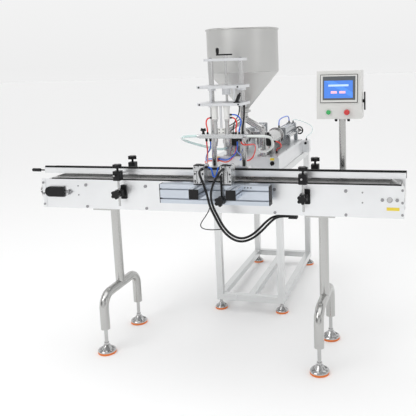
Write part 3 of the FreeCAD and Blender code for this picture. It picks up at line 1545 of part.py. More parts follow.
def panel_box():
    """The operator box: upright lower strip, face leaning back, raised bezel and sunken screen."""
    half = panel_width / 2
    x0 = panel_middle_x - half
    y0 = panel_front_y
    y1 = y0 + panel_depth
    z0 = panel_low_z
    fold = z0 + panel_strip_height
    top = z0 + panel_height
    outline = [V(x0, y0, z0), V(x0, y0, fold), V(x0, y0 + panel_lean, top), V(x0, y1, top), V(x0, y1, z0)]
    w = panel_wall
    f = panel_front_wall
    hollow = [V(x0 + w, y0 + f, z0 + w), V(x0 + w, y0 + f, fold), V(x0 + w, y0 + f + panel_lean, top - w),
              V(x0 + w, y1 - w, top - w), V(x0 + w, y1 - w, z0 + w)]
    body = prism(outline, V(panel_width, 0, 0)).cut(prism(hollow, V(panel_width - 2 * w, 0, 0)))
    lean = math.atan2(panel_lean, top - fold)
    slope_length = math.hypot(panel_lean, top - fold)
    middle = V(panel_middle_x, (2 * y0 + panel_lean) / 2, (fold + top) / 2)

    def on_face(width, height, low, high):
        """A block lying on the leaning face, between two heights above it."""
        piece = block(-width / 2, width / 2, -high, -low, -height / 2, height / 2)
        piece.rotate(V(0, 0, 0), X_AXIS, -math.degrees(lean))
        piece.translate(middle)
        return piece

    bezel_width = panel_width - 2 * bezel_side_margin
    bezel_height = slope_length - 2 * bezel_end_margin
    screen_width = bezel_width - 2 * screen_side_margin
    screen_height = bezel_height - 2 * screen_end_margin
    body = body.fuse(on_face(bezel_width, bezel_height, -bezel_root, bezel_rise))
    body = body.cut(on_face(screen_width, screen_height, -screen_pocket, bezel_rise + past))
    for x in (green_x, red_x):
        body = body.cut(rod(button_stem_radius + run_gap, V(x, y0 - past, button_z),
                            V(x, y0 + button_stem_length + button_travel + button_bore_room, button_z)))
    side = V(x0 + panel_width, y0 + panel_depth / 2, latch_z)
    body = body.cut(rod(latch_spindle_radius + run_gap, side - V(latch_hole_reach, 0, 0), side + V(past, 0, 0)))
    screen = on_face(screen_width, screen_height, -screen_pocket, -screen_sink)
    return [body, screen]


def push_button(x, radius, rise):
    """A push button: domed cap on its stem."""
    at = V(x, panel_front_y - button_travel - button_gap, button_z)
    cap = turned([(0, 0), (radius, 0), (radius, rise * button_edge_share), (radius - button_edge_round, rise),
                  (0, rise + button_dome)], at, V(0, -1, 0))
    return cap.fuse(rod(button_stem_radius, at, at + V(0, button_stem_length, 0)))


def panel_latch():
    """The lever on the panel's side, on its boss."""
    x = panel_middle_x + panel_width / 2
    y = panel_front_y + panel_depth / 2
    lever_x = x + latch_boss_length
    boss = rod(latch_boss_radius, V(x + seat_gap, y, latch_z), V(lever_x, y, latch_z))
    spindle = rod(latch_spindle_radius, V(x - latch_spindle_reach, y, latch_z), V(lever_x, y, latch_z))
    lever = rounded_block(lever_x, lever_x + latch_sheet, y - latch_width / 2, y + latch_width / 2,
                          latch_z - latch_length / 2, latch_z + latch_length / 2, latch_round, X_AXIS)
    return boss.fuse(spindle).fuse(lever)


def hose_block():
    """The block under the front plate's flange where the black hoses end."""
    low_y = hose_lanes_y[0] - hose_block_margin
    high_y = hose_lanes_y[1] + hose_block_margin
    return rounded_block(hose_block_x, hose_block_x + hose_block_length, low_y, high_y,
                         plate_low_z - hose_block_height, plate_low_z, hose_block_round, X_AXIS)


def black_hose_left():
    """Hose of the left stop cylinder, looping under the beam to the block behind the front plate."""
    start_y = stop_front_y - stop_fitting_length
    route = [V(stop_ports[0], start_y, stop_fitting_z), V(0, -245, 1050), V(13, -270, 1029),
             V(32, -272, 985), V(44, -262, 930), V(51, -252, 870), V(76, -243, 808), V(104, -238, 750),
             V(146, -234, 704), V(200, -230, 684), V(256, -219, 700), V(298, -190, 732), V(328, -148, 764),
             V(352, -110, 784), V(384, hose_lanes_y[0], hose_end_z),
             V(hose_block_x, hose_lanes_y[0], hose_end_z)]
    return cord("black_hose_left", route, black_hose_radius)


def black_hose_right():
    """Hose of the right stop cylinder, beside the left one."""
    start_y = stop_front_y - stop_fitting_length
    route = [V(stop_ports[1], start_y, stop_fitting_z), V(112, -245, 1050), V(103, -270, 1029),
             V(80, -276, 986), V(62, -266, 930), V(67, -254, 872), V(91, -245, 815), V(116, -240, 762),
             V(154, -235, 719), V(203, -230, 701), V(250, -221, 716), V(288, -194, 746), V(316, -150, 776),
             V(338, -100, 788), V(379, hose_lanes_y[1], hose_end_z),
             V(hose_block_x, hose_lanes_y[1], hose_end_z)]
    return cord("black_hose_right", route, black_hose_radius)


def sensor_cable():
    """Thin cable from the beam's underside, folded back to the left hose that it is tied to."""
    route = [V(34, -196, beam_low_z), V(30, -198, 842), V(10, -202, 808), V(-14, -206, 776), V(-22, -208, 755),
             V(-8, -210, 741), V(22, -214, 738), V(62, -223, 741), V(97, -236, 749)]
    return cord("sensor_cable", route, cable_radius)


def product_hose_left():
    """Clear hose from the left valve round to the crossbar's left end."""
    z = crossbar_low_z + crossbar_height / 2
    x = portal_x - crossbar_length / 2 - crossbar_fitting_length - seat_gap
    end_y = hopper_y - valve_radius - outlet_length
    route = [V(x, 0, z), V(-142, 0, z), V(-196, 30, 1184), V(-224, 100, 1162), V(-215, 195, 1132), V(-175, 285, 1100),
             V(-118, 350, 1072), V(left_filling_x, 410, outlet_z), V(left_filling_x, end_y, outlet_z)]
    return cord("product_hose_left", route, product_hose_radius)


def product_hose_right():
    """Clear hose from the right valve round to the crossbar's right end."""
    z = crossbar_low_z + crossbar_height / 2
    x = portal_x + crossbar_length / 2 + crossbar_fitting_length + seat_gap
    end_y = hopper_y - valve_radius - outlet_length
    route = [V(x, 0, z), V(231, 0, z), V(274, 22, 1191), V(298, 62, 1180), V(290, 142, 1144), V(262, 236, 1098),
             V(205, 318, 1062), V(152, 372, 1053), V(right_filling_x, 414, outlet_z),
             V(right_filling_x, end_y, outlet_z)]
    return cord("product_hose_right", route, product_hose_radius)


def air_tube_red():
    """Air tube from the block on the casing to the left valve's actuator."""
    y = casing_front_y - air_block_depth / 2
    start_z = air_block_low_z + air_block_height / 2
    route = [V(air_block_x + air_block_width, y, start_z), V(-114, 463, 974), V(-82, 458, 973), V(-56, 458, 990),
             V(-42, 464, 1012), V(-36, 484, 1034), V(-35, 506, 1052), V(-35, 514, actuator_low_z + 4)]
    return cord("air_tube_red", route, tube_radius)


def save(node, solids):
    """Moves a node to the footprint's middle and writes it."""
    if not isinstance(solids, list):
        solids = [solids]
    shape = Part.makeCompound(solids)
    shape.translate(to_footprint_middle)
    shape.exportStep(os.path.join("parts", node + ".step"))


def main():
    os.makedirs("parts", exist_ok=True)
    save("front_side_plate", side_plate(-1) + [hose_block()])
    save("rear_side_plate", side_plate(1))
    save("end_strips", end_strips())
    save("spreader_bars", spreader_bars())
    save("wear_strips", wear_strips())
    save("slat_chain", slat_chain())
    save("shaft_bearings", shaft_bearings())
    tail_reach = half_width + cover_bore_depth - shaft_end_gap
    save("drive_shaft", shaft_with_sprockets(drive_x, -half_width + shaft_end_gap, half_width + gearbox_depth))
    save("tail_shaft", shaft_with_sprockets(tail_x, -tail_reach, tail_reach))
    save("takeup_covers", takeup_covers())
    save("gear_motor", gear_motor())
    save("front_rail", guide_rail(-1, front_post_places, rail_low_z))
    save("rear_rail", guide_rail(1, rear_post_places, rail_low_z - rear_rail_drop))
    save("rail_sensor", rail_sensor())
    save("front_rail_posts", rail_posts(-1, front_post_places, 0))
    save("rear_rail_posts", rail_posts(1, rear_post_places, rear_rail_drop))
    save("rail_brackets", rail_brackets())
    knob_y = -(post_y + post_radius + bracket_head_wall + seat_gap)
    knob_z = clamp_low_z + clamp_height + seat_gap
    for name, x in zip(("left", "right"), front_post_places):
        save("post_knob_" + name, star_knob(V(x, knob_y, bracket_z), V(0, -1, 0)))
        save("top_knob_" + name, star_knob(V(x, -post_y, knob_z), Z_AXIS))
    for name, x in zip(("left", "right"), rear_post_places):
        save("rear_knob_" + name, star_knob(V(x, post_y, knob_z), Z_AXIS))
    save("leg_left", leg(leg_places[0]))
    save("leg_right", leg(leg_places[1]))
    save("levelling_feet", [levelling_foot(*place) for place in foot_places()])
    save("foot_pads", [foot_pad(x, y, size) for x, y, size, _ in foot_places()])
    save("frame_bolts", frame_bolts())
    save("profile_beam", profile_beam())
    save("profile_caps", profile_caps())
    save("stop_cylinders", stop_cylinders() + beam_rod_clamp())
    save("stop_rod_left", stop_rod(stop_places[0]))
    save("stop_rod_right", stop_rod(stop_places[1]))
    save("beam_knob", star_knob(V(beam_knob_x, beam_front_y - beam_clamp_depth - seat_gap,
                                  beam_rod_low_z + beam_clamp_height / 2), V(0, -1, 0)))
    save("portal_frame", portal_frame())
    save("nozzle_crank", nozzle_crank())
    save("lift_carriage", lift_carriage())
    save("nozzle_cylinders", nozzle_cylinders())
    save("filling_nozzles", filling_nozzles())
    save("nozzle_crossbar", nozzle_crossbar())
    save("filler_frame", filler_frame())
    save("casing", casing())
    save("hopper", hopper())
    save("product_manifold", product_manifold())
    save("filling_cylinders", filling_cylinders())
    save("drive_cylinders", drive_cylinders())
    save("piston_yoke", piston_yoke())
    save("stroke_handwheel", stroke_handwheel())
    save("selector_knob", selector_knob())
    save("panel_pole", panel_pole())
    save("panel_box", panel_box())
    save("green_button", push_button(green_x, green_radius, green_rise))
    save("red_button", push_button(red_x, red_radius, red_rise))
    save("panel_latch", panel_latch())
    save("black_hose_left", black_hose_left())
    save("black_hose_right", black_hose_right())
    save("sensor_cable", sensor_cable())
    save("product_hose_left", product_hose_left())
    save("product_hose_right", product_hose_right())
    save("air_tube_red", air_tube_red())
    print("footprint middle", round(middle_x, 2), round(middle_y, 2), "shaft z", round(shaft_z, 3), "tail x",
          round(tail_x, 2))


main()
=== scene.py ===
import math

import bmesh
import bpy
from mathutils import Matrix, Vector


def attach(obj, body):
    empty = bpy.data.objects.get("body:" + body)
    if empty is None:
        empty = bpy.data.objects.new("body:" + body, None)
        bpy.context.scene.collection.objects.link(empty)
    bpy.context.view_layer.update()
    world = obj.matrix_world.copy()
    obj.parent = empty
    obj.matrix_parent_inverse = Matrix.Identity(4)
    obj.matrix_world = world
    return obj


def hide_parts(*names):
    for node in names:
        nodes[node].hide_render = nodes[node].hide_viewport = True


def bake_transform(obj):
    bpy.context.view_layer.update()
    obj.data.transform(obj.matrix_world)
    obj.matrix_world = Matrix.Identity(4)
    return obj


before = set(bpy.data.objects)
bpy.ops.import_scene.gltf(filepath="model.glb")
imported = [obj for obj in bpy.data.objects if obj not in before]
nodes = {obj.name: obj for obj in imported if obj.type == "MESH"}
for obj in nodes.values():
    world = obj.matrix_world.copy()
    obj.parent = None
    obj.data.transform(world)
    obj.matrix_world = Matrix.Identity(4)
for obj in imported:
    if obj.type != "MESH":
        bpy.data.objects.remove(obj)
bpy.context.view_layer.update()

# Where the conveyor's middle lies in the frame of the part, in metres
CONVEYOR_MIDDLE = Vector((0.040, -0.584, 0.0))

# The camera stands at the operator's right, at head height, and looks a little to the left and down
CAMERA_PLACE = (1.0762, -3.0429, 1.5817)
CAMERA_TURN_LEFT = 0.254
CAMERA_TILT_DOWN = 0.159
CAMERA_ROLL = -0.031
CAMERA_FOCAL_PIXELS = 604.55
IMAGE_PIXELS = 416
SENSOR_MM = 36.0
CAMERA_SHIFT = (-0.14, -0.12)
CAMERA_SIGHT = 200

X_AXIS = Vector((1, 0, 0))
Y_AXIS = Vector((0, 1, 0))
Z_AXIS = Vector((0, 0, 1))
SMOOTH_ANGLE = math.radians(32)

# Corners nearer than this count as one: in the shading of nodes, and in the pieces made here
SHADING_WELD = 0.00001
SAME_CORNER = 0.000001

# Steps of a tube's curve from one point of its route to the next
CURVE_STEPS = 10

# Places on the machine, about the conveyor's middle, and radii of its hoses and tubes, in metres
RAIL_STRIP_BACK = 0.0561
RAIL_ROD_START = 0.0625
TRACK_HALF_WIDTH = 0.045
STOP_CYLINDER_XS = (-0.020, 0.124)
VALVE_XS = (-0.085, 0.135)
HOPPER_MIDDLE = (0.025, 0.520)
BLACK_HOSE_RADIUS = 0.006
PRODUCT_HOSE_RADIUS = 0.0075
AIR_TUBE_RADIUS = 0.0038
NOZZLE_TUBE_RADIUS = 0.0036
CASING_TUBE_RADIUS = 0.003
CLEAR_TUBE_RADIUS = 0.0025
CABLE_RADIUS = 0.0025

# The display leans back with the sloping part of the panel's front
DISPLAY_MIDDLE = (0.663, 0.081, 1.430)
DISPLAY_SETBACK = 0.026
DISPLAY_SLOPE_FOOT = 0.064
DISPLAY_SLOPE_TOP = 0.246

# A faint painted reflection, a sheen, runs across the lit display where X times the slope, plus Z, comes to
# this sum
SHEEN_SLOPE = 0.6
SHEEN_SUM = 1.862
SHEEN_HALF_WIDTH = 0.013

# The studio: its light all round, what is added to it or taken from it, where the lamps aim, and the
# reach of the floor in metres
AIR_LEVEL = 0.94
OVERHEAD_GAIN = 0.66
HORIZON_LOSS = 0.08
RING_LOSS = 0.62
LEFT_PANEL_LOSS = 0.86
RIGHT_PANEL_LOSS = 0.80
LEAST_LEVEL = 0.03
LAMP_AIM = (0, 0, 0.9)
FLOOR_REACH = 60.0


def here(x, y, z):
    """A point given about the conveyor's middle, in the frame of the part."""
    return Vector((x, y, z)) + CONVEYOR_MIDDLE


class Value:
    """A socket of a material, so that shader maths reads as arithmetic."""

    def __init__(self, finish, socket):
        self.finish = finish
        self.socket = socket

    def _math(self, operation, *others):
        return self.finish.node("ShaderNodeMath", {"operation": operation}, [self, *others])

    def __add__(self, other):
        return self._math("ADD", other)

    __radd__ = __add__

    def __mul__(self, other):
        return self._math("MULTIPLY", other)

    def __sub__(self, other):
        return self._math("SUBTRACT", other)

    def __rsub__(self, other):
        return self.finish.node("ShaderNodeMath", {"operation": "SUBTRACT"}, [other, self])

    def above(self, edge):
        return self._math("GREATER_THAN", edge)

    def below(self, edge):
        return self._math("LESS_THAN", edge)

    def size(self):
        return self._math("ABSOLUTE")

    def power(self, other):
        return self._math("POWER", other)

    def at_least(self, other):
        return self._math("MAXIMUM", other)

    def at_most(self, other):
        return self._math("MINIMUM", other)


class Finish:
    """One procedural material with a Principled shader."""

    def __init__(self, name, color, roughness, metallic=0.0, **fixed):
        self.material = bpy.data.materials.new(name)
        self.material.use_nodes = True
        self.tree = self.material.node_tree
        self.shader = self.tree.nodes["Principled BSDF"]
        self.set("Base Color", (*color, 1.0))
        self.set("Roughness", roughness)
        self.set("Metallic", metallic)
        for key, value in fixed.items():
            self.set(key.replace("_", " "), value)
        coordinates = self.tree.nodes.new("ShaderNodeTexCoord")
        self.place = Value(self, coordinates.outputs["Object"])

    def link(self, value, socket):
        if isinstance(value, Value):
            self.tree.links.new(value.socket, socket)
        else:
            socket.default_value = value

    def set(self, name, value):
        self.link(value, self.shader.inputs[name])

    def node(self, kind, settings, inputs, output=0):
        """Any node: its settings first, then the values or links of its sockets, by place or by name."""
        made = self.tree.nodes.new(kind)
        for key, value in settings.items():
            setattr(made, key, value)
        pairs = inputs.items() if isinstance(inputs, dict) else enumerate(inputs)
        for key, value in pairs:
            self.link(value, made.inputs[key])
        return Value(self, made.outputs[output])

    def noise(self, scale, stretch=(1, 1, 1), detail=2.0, rough=0.5):
        place = self.node("ShaderNodeMapping", {}, {"Vector": self.place, "Scale": stretch})
        inputs = {"Vector": place, "Scale": scale, "Detail": detail, "Roughness": rough}
        return self.node("ShaderNodeTexNoise", {}, inputs)

    def blend(self, mask, first, second):
        settings = {"data_type": "RGBA"}
        inputs = {0: mask, 6: (*first, 1.0) if isinstance(first, tuple) else first,
                  7: (*second, 1.0) if isinstance(second, tuple) else second}
        return self.node("ShaderNodeMix", settings, inputs, output=2)

    def bump(self, height, strength, distance):
        inputs = {"Height": height, "Strength": strength, "Distance": distance}
        self.set("Normal", self.node("ShaderNodeBump", {}, inputs))

    def axis(self, name):
        parts = self.tree.nodes.new("ShaderNodeSeparateXYZ")
        self.tree.links.new(self.place.socket, parts.inputs[0])
        return Value(self, parts.outputs[name])


class Backdrop(Finish):
    """The studio's air: light that depends only on the direction it comes from."""

    def __init__(self, world):
        self.tree = world.node_tree
        coordinates = self.tree.nodes.new("ShaderNodeTexCoord")
        self.place = Value(self, coordinates.outputs["Generated"])


def lighter(color, amount):
    return tuple(min(1.0, part * amount) for part in color)


def brushed_metal(name, color, roughness, along, depth=0.08, tone=0.10):
    """Rolled or ground metal with fine lines along one axis and cloudy reflections."""
    finish = Finish(name, color, roughness, 1.0)
    stretch = [260.0, 260.0, 260.0]
    stretch["XYZ".index(along)] = 3.0
    lines = finish.noise(1.0, tuple(stretch), 3.0, 0.6)
    clouds = finish.noise(5.0)
    finish.set("Roughness", lines * 0.16 + clouds * 0.10 + (roughness - 0.13))
    finish.set("Base Color", finish.blend(clouds, lighter(color, 1 - tone), lighter(color, 1 + tone * 0.6)))
    finish.bump(lines, depth, 0.0004)
    return finish.material


def polished_metal(name, color, roughness):
    """Polished stainless steel with faint wipe marks."""
    finish = Finish(name, color, roughness, 1.0)
    wipes = finish.noise(14.0, detail=4.0, rough=0.6)
    fine = finish.noise(420.0, detail=1.0)
    finish.set("Roughness", wipes * 0.14 + (roughness - 0.04))
    finish.set("Base Color", finish.blend(wipes, lighter(color, 0.90), color))
    finish.bump(fine, 0.02, 0.0003)
    return finish.material


def machined_metal(name, color, roughness):
    """Milled or anodised aluminium: satin, with a very fine grain."""
    finish = Finish(name, color, roughness, 0.85)
    grain = finish.noise(900.0)
    clouds = finish.noise(9.0)
    finish.set("Roughness", grain * 0.12 + clouds * 0.06 + (roughness - 0.09))
    finish.set("Base Color", finish.blend(clouds, lighter(color, 0.93), lighter(color, 1.04)))
    finish.bump(grain, 0.06, 0.0003)
    return finish.material


def moulded_plastic(name, color, roughness, grain_scale=700.0, coat=0.0, depth=0.10, shine=0.5):
    """Moulded plastic or rubber with a fine skin and a little dust in its hollows."""
    finish = Finish(name, color, roughness, 0.0, Coat_Weight=coat, Specular_IOR_Level=shine)
    skin = finish.noise(grain_scale)
    dust = finish.noise(26.0, detail=3.0, rough=0.6)
    finish.set("Roughness", skin * 0.10 + dust * 0.12 + (roughness - 0.11))
    dusty = tuple(part * 0.90 + 0.012 for part in color)
    finish.set("Base Color", finish.blend(dust.power(2.0), color, dusty))
    finish.bump(skin, depth, 0.0003)
    return finish.material


def powder_coat(name, color, roughness=0.42):
    """Fine-textured powder coat on sheet steel."""
    finish = Finish(name, color, roughness, 0.0, Coat_Weight=0.15, Coat_Roughness=0.3)
    orange_peel = finish.noise(320.0)
    clouds = finish.noise(7.0)
    finish.set("Roughness", orange_peel * 0.12 + (roughness - 0.06))
    finish.set("Base Color", finish.blend(clouds, lighter(color, 0.96), lighter(color, 1.02)))
    finish.bump(orange_peel, 0.12, 0.0004)
    return finish.material


def clear_tube_material(name, tint, roughness=0.12, see_through=0.55):
    """Clear soft tube: a glossy skin, milky with its tint, that lets part of the light through."""
    finish = Finish(name, tint, roughness, 0.0, Coat_Weight=0.6, Coat_Roughness=0.08)
    milk = finish.noise(30.0)
    finish.set("Alpha", milk * 0.2 + (1 - see_through))
    finish.set("Base Color", finish.blend(milk, tint, lighter(tint, 1.1)))
    return finish.material


def glowing_screen(name, color, strength, painted_sheen_strength=0.0):
    """A lit panel of the display, with a faint slanting sheen, a painted reflection in its colour and glow,
    where the last argument is above nought.
    """
    finish = Finish(name, color, 0.25, 0.0, Coat_Weight=0.5)
    dots = finish.noise(800.0, detail=1.0)
    off_painted_sheen = (finish.axis("X") * SHEEN_SLOPE + finish.axis("Z") - SHEEN_SUM).size()
    # The slanting band is a painted reflection: brighter colour and glow across the lit display
    slant = off_painted_sheen.below(SHEEN_HALF_WIDTH)
    lit = finish.blend(dots * 0.3 + slant * painted_sheen_strength, color, lighter(color, 1.6))
    finish.set("Base Color", lit)
    finish.set("Emission Color", lit)
    finish.set("Emission Strength", strength)
    return finish.material


def slat_steel():
    """Chain slats: rolled steel, brighter where bottles slide along the middle."""
    color = (0.84, 0.84, 0.83)
    finish = Finish("slat_steel", color, 0.32, 1.0)
    lines = finish.noise(1.0, (4.0, 240.0, 240.0), 3.0, 0.6)
    clouds = finish.noise(11.0, detail=3.0, rough=0.6)
    off_middle = (finish.axis("Y") - CONVEYOR_MIDDLE.y).size()
    track = off_middle.below(TRACK_HALF_WIDTH)
    finish.set("Roughness", lines * 0.16 + clouds * 0.12 - track * 0.05 + 0.20)
    worn = track * 0.4 + clouds * 0.5
    finish.set("Base Color", finish.blend(worn, lighter(color, 0.82), lighter(color, 1.08)))
    finish.bump(lines, 0.12, 0.0004)
    return finish.material


MATERIALS = {
    # Painted shade: the round tubes and the hopper are darker copies of the stainless steel of the sheets,
    # darkened to stand in for the dark reflections on them
    "sheet": brushed_metal("stainless_sheet", (0.86, 0.87, 0.88), 0.36, "X"),
    "casing_sheet": brushed_metal("casing_sheet", (0.78, 0.79, 0.80), 0.36, "Y"),
    "hopper_sheet_shaded": brushed_metal("hopper_sheet_shaded", (0.56, 0.56, 0.55), 0.36, "Z", 0.06),
    "tube": brushed_metal("stainless_tube", (0.52, 0.52, 0.51), 0.22, "Z", 0.04),
    "square_tube": brushed_metal("square_tube", (0.72, 0.73, 0.73), 0.30, "Z", 0.05),
    "chrome": polished_metal("polished_steel", (0.56, 0.56, 0.56), 0.14),
    "bolt": machined_metal("bolt_steel", (0.34, 0.34, 0.35), 0.30),
    "slats": slat_steel(),
    "aluminium": machined_metal("machined_aluminium", (0.60, 0.61, 0.62), 0.28),
    "plate": machined_metal("portal_plate", (0.74, 0.75, 0.77), 0.30),
    "anodised": machined_metal("anodised_profile", (0.62, 0.67, 0.74), 0.38),
    "cylinder": machined_metal("cylinder_tube", (0.50, 0.52, 0.54), 0.26),
    "black": moulded_plastic("black_plastic", (0.006, 0.006, 0.007), 0.42, 600.0, 0.0, 0.10, 0.28),
    "black_satin": moulded_plastic("black_clamp", (0.008, 0.008, 0.009), 0.48, 700.0, 0.0, 0.10, 0.25),
    "wear": moulded_plastic("wear_strip", (0.008, 0.008, 0.008), 0.52, 700.0, 0.0, 0.10, 0.20),
    "hose": moulded_plastic("black_hose", (0.004, 0.004, 0.005), 0.36, 400.0, 0.0, 0.10, 0.32),
    "orange": moulded_plastic("orange_rubber", (0.80, 0.20, 0.03), 0.62),
    "motor": powder_coat("motor_paint", (0.30, 0.33, 0.36)),
    "panel": powder_coat("panel_paint", (0.70, 0.70, 0.68)),
    "dark_frame": moulded_plastic("bezel_dark", (0.10, 0.11, 0.12), 0.40),
    "green": moulded_plastic("green_button", (0.02, 0.42, 0.10), 0.22, 900.0, 0.7, 0.02),
    "red": moulded_plastic("red_button", (0.62, 0.02, 0.02), 0.22, 900.0, 0.7, 0.02),
    "yellow": moulded_plastic("yellow_label", (0.85, 0.66, 0.05), 0.45),
    "red_tube": moulded_plastic("red_tube", (0.86, 0.03, 0.015), 0.30, 900.0, 0.0, 0.02, 0.4),
    "blue_tube": moulded_plastic("blue_tube", (0.02, 0.14, 0.72), 0.30, 900.0, 0.0, 0.02, 0.4),
    "clear": clear_tube_material("clear_hose", (0.60, 0.80, 0.78)),
    "milky": clear_tube_material("milky_hose", (0.86, 0.90, 0.88), 0.2, 0.25),
    "white": moulded_plastic("white_plastic", (0.82, 0.82, 0.80), 0.34),
    # The blue face carries the painted reflection, a slanting sheen across it
    "screen": glowing_screen("screen_blue", (0.04, 0.15, 0.52), 0.6, 0.5),
    "screen_pale": glowing_screen("screen_pale", (0.36, 0.50, 0.78), 0.6),
    "screen_pink": glowing_screen("screen_pink", (0.78, 0.38, 0.46), 0.6),
    # A near-black sheet that stands for the shade in a recess: painted shade
    "recess_shade": moulded_plastic("painted_recess_shade", (0.01, 0.01, 0.01), 0.8),
}

NODE_MATERIALS = {
    "front_side_plate": "sheet", "rear_side_plate": "sheet", "end_strips": "sheet", "spreader_bars": "tube",
    "wear_strips": "wear", "slat_chain": "slats", "shaft_bearings": "black_satin", "takeup_covers": "black",
    "gear_motor": "motor", "drive_shaft": "chrome", "tail_shaft": "chrome", "front_rail": "sheet",
    "rear_rail": "sheet", "rail_sensor": "black", "front_rail_posts": "black_satin",
    "rear_rail_posts": "black_satin", "rail_brackets": "black_satin", "leg_left": "tube",
    "leg_right": "tube", "levelling_feet": "chrome", "foot_pads": "orange", "frame_bolts": "bolt",
    "profile_beam": "anodised",
    "profile_caps": "black_satin", "stop_cylinders": "aluminium", "stop_rod_left": "chrome",
    "stop_rod_right": "chrome", "portal_frame": "plate", "nozzle_crank": "black", "lift_carriage": "plate",
    "nozzle_cylinders": "white", "filling_nozzles": "chrome", "nozzle_crossbar": "aluminium",
    "filler_frame": "square_tube", "casing": "casing_sheet", "hopper": "hopper_sheet_shaded",
    "product_manifold": "chrome", "filling_cylinders": "chrome", "drive_cylinders": "cylinder",
    "piston_yoke": "chrome", "stroke_handwheel": "black", "selector_knob": "black", "panel_pole": "tube",
    "panel_box": "panel", "green_button": "green", "red_button": "red", "panel_latch": "black",
}
KNOB_NODES = [name for name in nodes if "_knob" in name and name != "selector_knob"]


def smooth_faces(mesh):
    for face in mesh.polygons:
        face.use_smooth = True


def smooth_node(node):
    """Joins a node's loose triangles for shading only, and keeps its sharp edges sharp."""
    smooth_faces(node.data)
    weld = node.modifiers.new("weld", "WELD")
    weld.merge_threshold = SHADING_WELD
    split = node.modifiers.new("edges", "EDGE_SPLIT")
    split.split_angle = SMOOTH_ANGLE


def paint_node(name, key):
    mesh = nodes[name].data
    mesh.materials.clear()
    mesh.materials.append(MATERIALS[key])
    smooth_node(nodes[name])


def paint_where(name, key, wanted):
    """Gives the faces of a node whose middle passes the test a material of their own."""
    mesh = nodes[name].data
    mesh.materials.append(MATERIALS[key])
    index = len(mesh.materials) - 1
    for face in mesh.polygons:
        if wanted(face.center - CONVEYOR_MIDDLE):
            face.material_index = index


def in_holder(p):
    """Whether a point lies in the white holder low in the lift carriage."""
    return 1.2045 < p.z < 1.2375 and 0.0255 < p.x < 0.0645


def paint_nodes():
    """Each node's material, then its parts of another. The edges are in metres about the conveyor."""
    for name, key in NODE_MATERIALS.items():
        paint_node(name, key)
    for name in KNOB_NODES:
        paint_node(name, "black")
    paint_where("front_rail", "wear", lambda p: p.y > -RAIL_STRIP_BACK)
    paint_where("front_rail", "chrome", lambda p: p.y < -RAIL_ROD_START)
    paint_where("rear_rail", "wear", lambda p: p.y < RAIL_STRIP_BACK)
    paint_where("rear_rail", "chrome", lambda p: p.y > RAIL_ROD_START)
    for name in ("front_rail_posts", "rear_rail_posts"):
        paint_where(name, "chrome", lambda p: p.z < 0.9725)
    paint_where("takeup_covers", "bolt", lambda p: p.x > -0.8440)
    paint_where("nozzle_crank", "chrome", lambda p: p.z < 1.6185)
    paint_where("portal_frame", "chrome", lambda p: 1.0101 < p.z < 1.588)
    paint_where("stroke_handwheel", "chrome", lambda p: p.y < 1.392)
    paint_where("front_side_plate", "black_satin", lambda p: p.z < 0.8009)
    paint_where("casing", "red", lambda p: p.y < 0.4795)
    paint_where("casing", "black", lambda p: p.x > 0.242 and 1.2170 < p.y < 1.2295)
    paint_where("lift_carriage", "white", in_holder)
    paint_where("stop_cylinders", "black_satin", lambda p: p.y < -0.2001)


def mesh_of(bm, name):
    """Turns a finished bmesh into a mesh."""
    mesh = bpy.data.meshes.new(name)
    bm.to_mesh(mesh)
    bm.free()
    return mesh


def put(name, data):
    """Sets a new object in the scene."""
    placed = bpy.data.objects.new(name, data)
    bpy.context.scene.collection.objects.link(placed)
    return placed


def close_up(bm):
    """Joins corners that share a place and turns all the faces outwards."""
    bmesh.ops.remove_doubles(bm, verts=bm.verts, dist=SAME_CORNER)
    bmesh.ops.recalc_face_normals(bm, faces=bm.faces)


def keep(name, bm, material, body, smooth=True):
    """Turns a finished bmesh into a piece of the object."""
    close_up(bm)
    mesh = mesh_of(bm, name)
    mesh.materials.append(MATERIALS[material])
    if smooth:
        smooth_faces(mesh)
        mesh.set_sharp_from_angle(angle=SMOOTH_ANGLE)
    piece = put(name, mesh)
    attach(piece, body)


def add_block(bm, low, high, bevel):
    """A box between two corners, with rounded edges."""
    part = bmesh.new()
    bmesh.ops.create_cube(part, size=1.0)
    spread = Matrix.Translation((low + high) / 2) @ Matrix.Diagonal((*(high - low), 1))
    bmesh.ops.transform(part, matrix=spread, verts=part.verts)
    bmesh.ops.bevel(part, geom=part.edges[:], offset=bevel, segments=2, profile=0.7, affect="EDGES")
    join(bm, part)


def join(bm, part):
    """Adds a part to the piece that is being made."""
    mesh = mesh_of(part, "part")
    bm.from_mesh(mesh)
    bpy.data.meshes.remove(mesh)


def standing(place, axis):
    """The move that takes a part made about Z to a place, along an axis."""
    return Matrix.Translation(place) @ Z_AXIS.rotation_difference(axis).to_matrix().to_4x4()


def skin_rings(bm, rings):
    """Faces between rings of corners, with both ends closed."""
    sides = len(rings[0])
    for lower, upper in zip(rings, rings[1:]):
        for i in range(sides):
            j = (i + 1) % sides
            bm.faces.new((lower[i], lower[j], upper[j], upper[i]))
    bm.faces.new(list(reversed(rings[0])))
    bm.faces.new(rings[-1])


def add_turned(bm, profile, place, axis, sides):
    """A turned part: (radius, height) pairs about an axis that starts at place."""
    part = bmesh.new()
    rings = []
    for radius, height in profile:
        ring = []
        for i in range(sides):
            angle = 2 * math.pi * i / sides
            ring.append(part.verts.new((radius * math.cos(angle), radius * math.sin(angle), height)))
        rings.append(ring)
    skin_rings(part, rings)
    bmesh.ops.transform(part, matrix=standing(place, axis), verts=part.verts)
    join(bm, part)


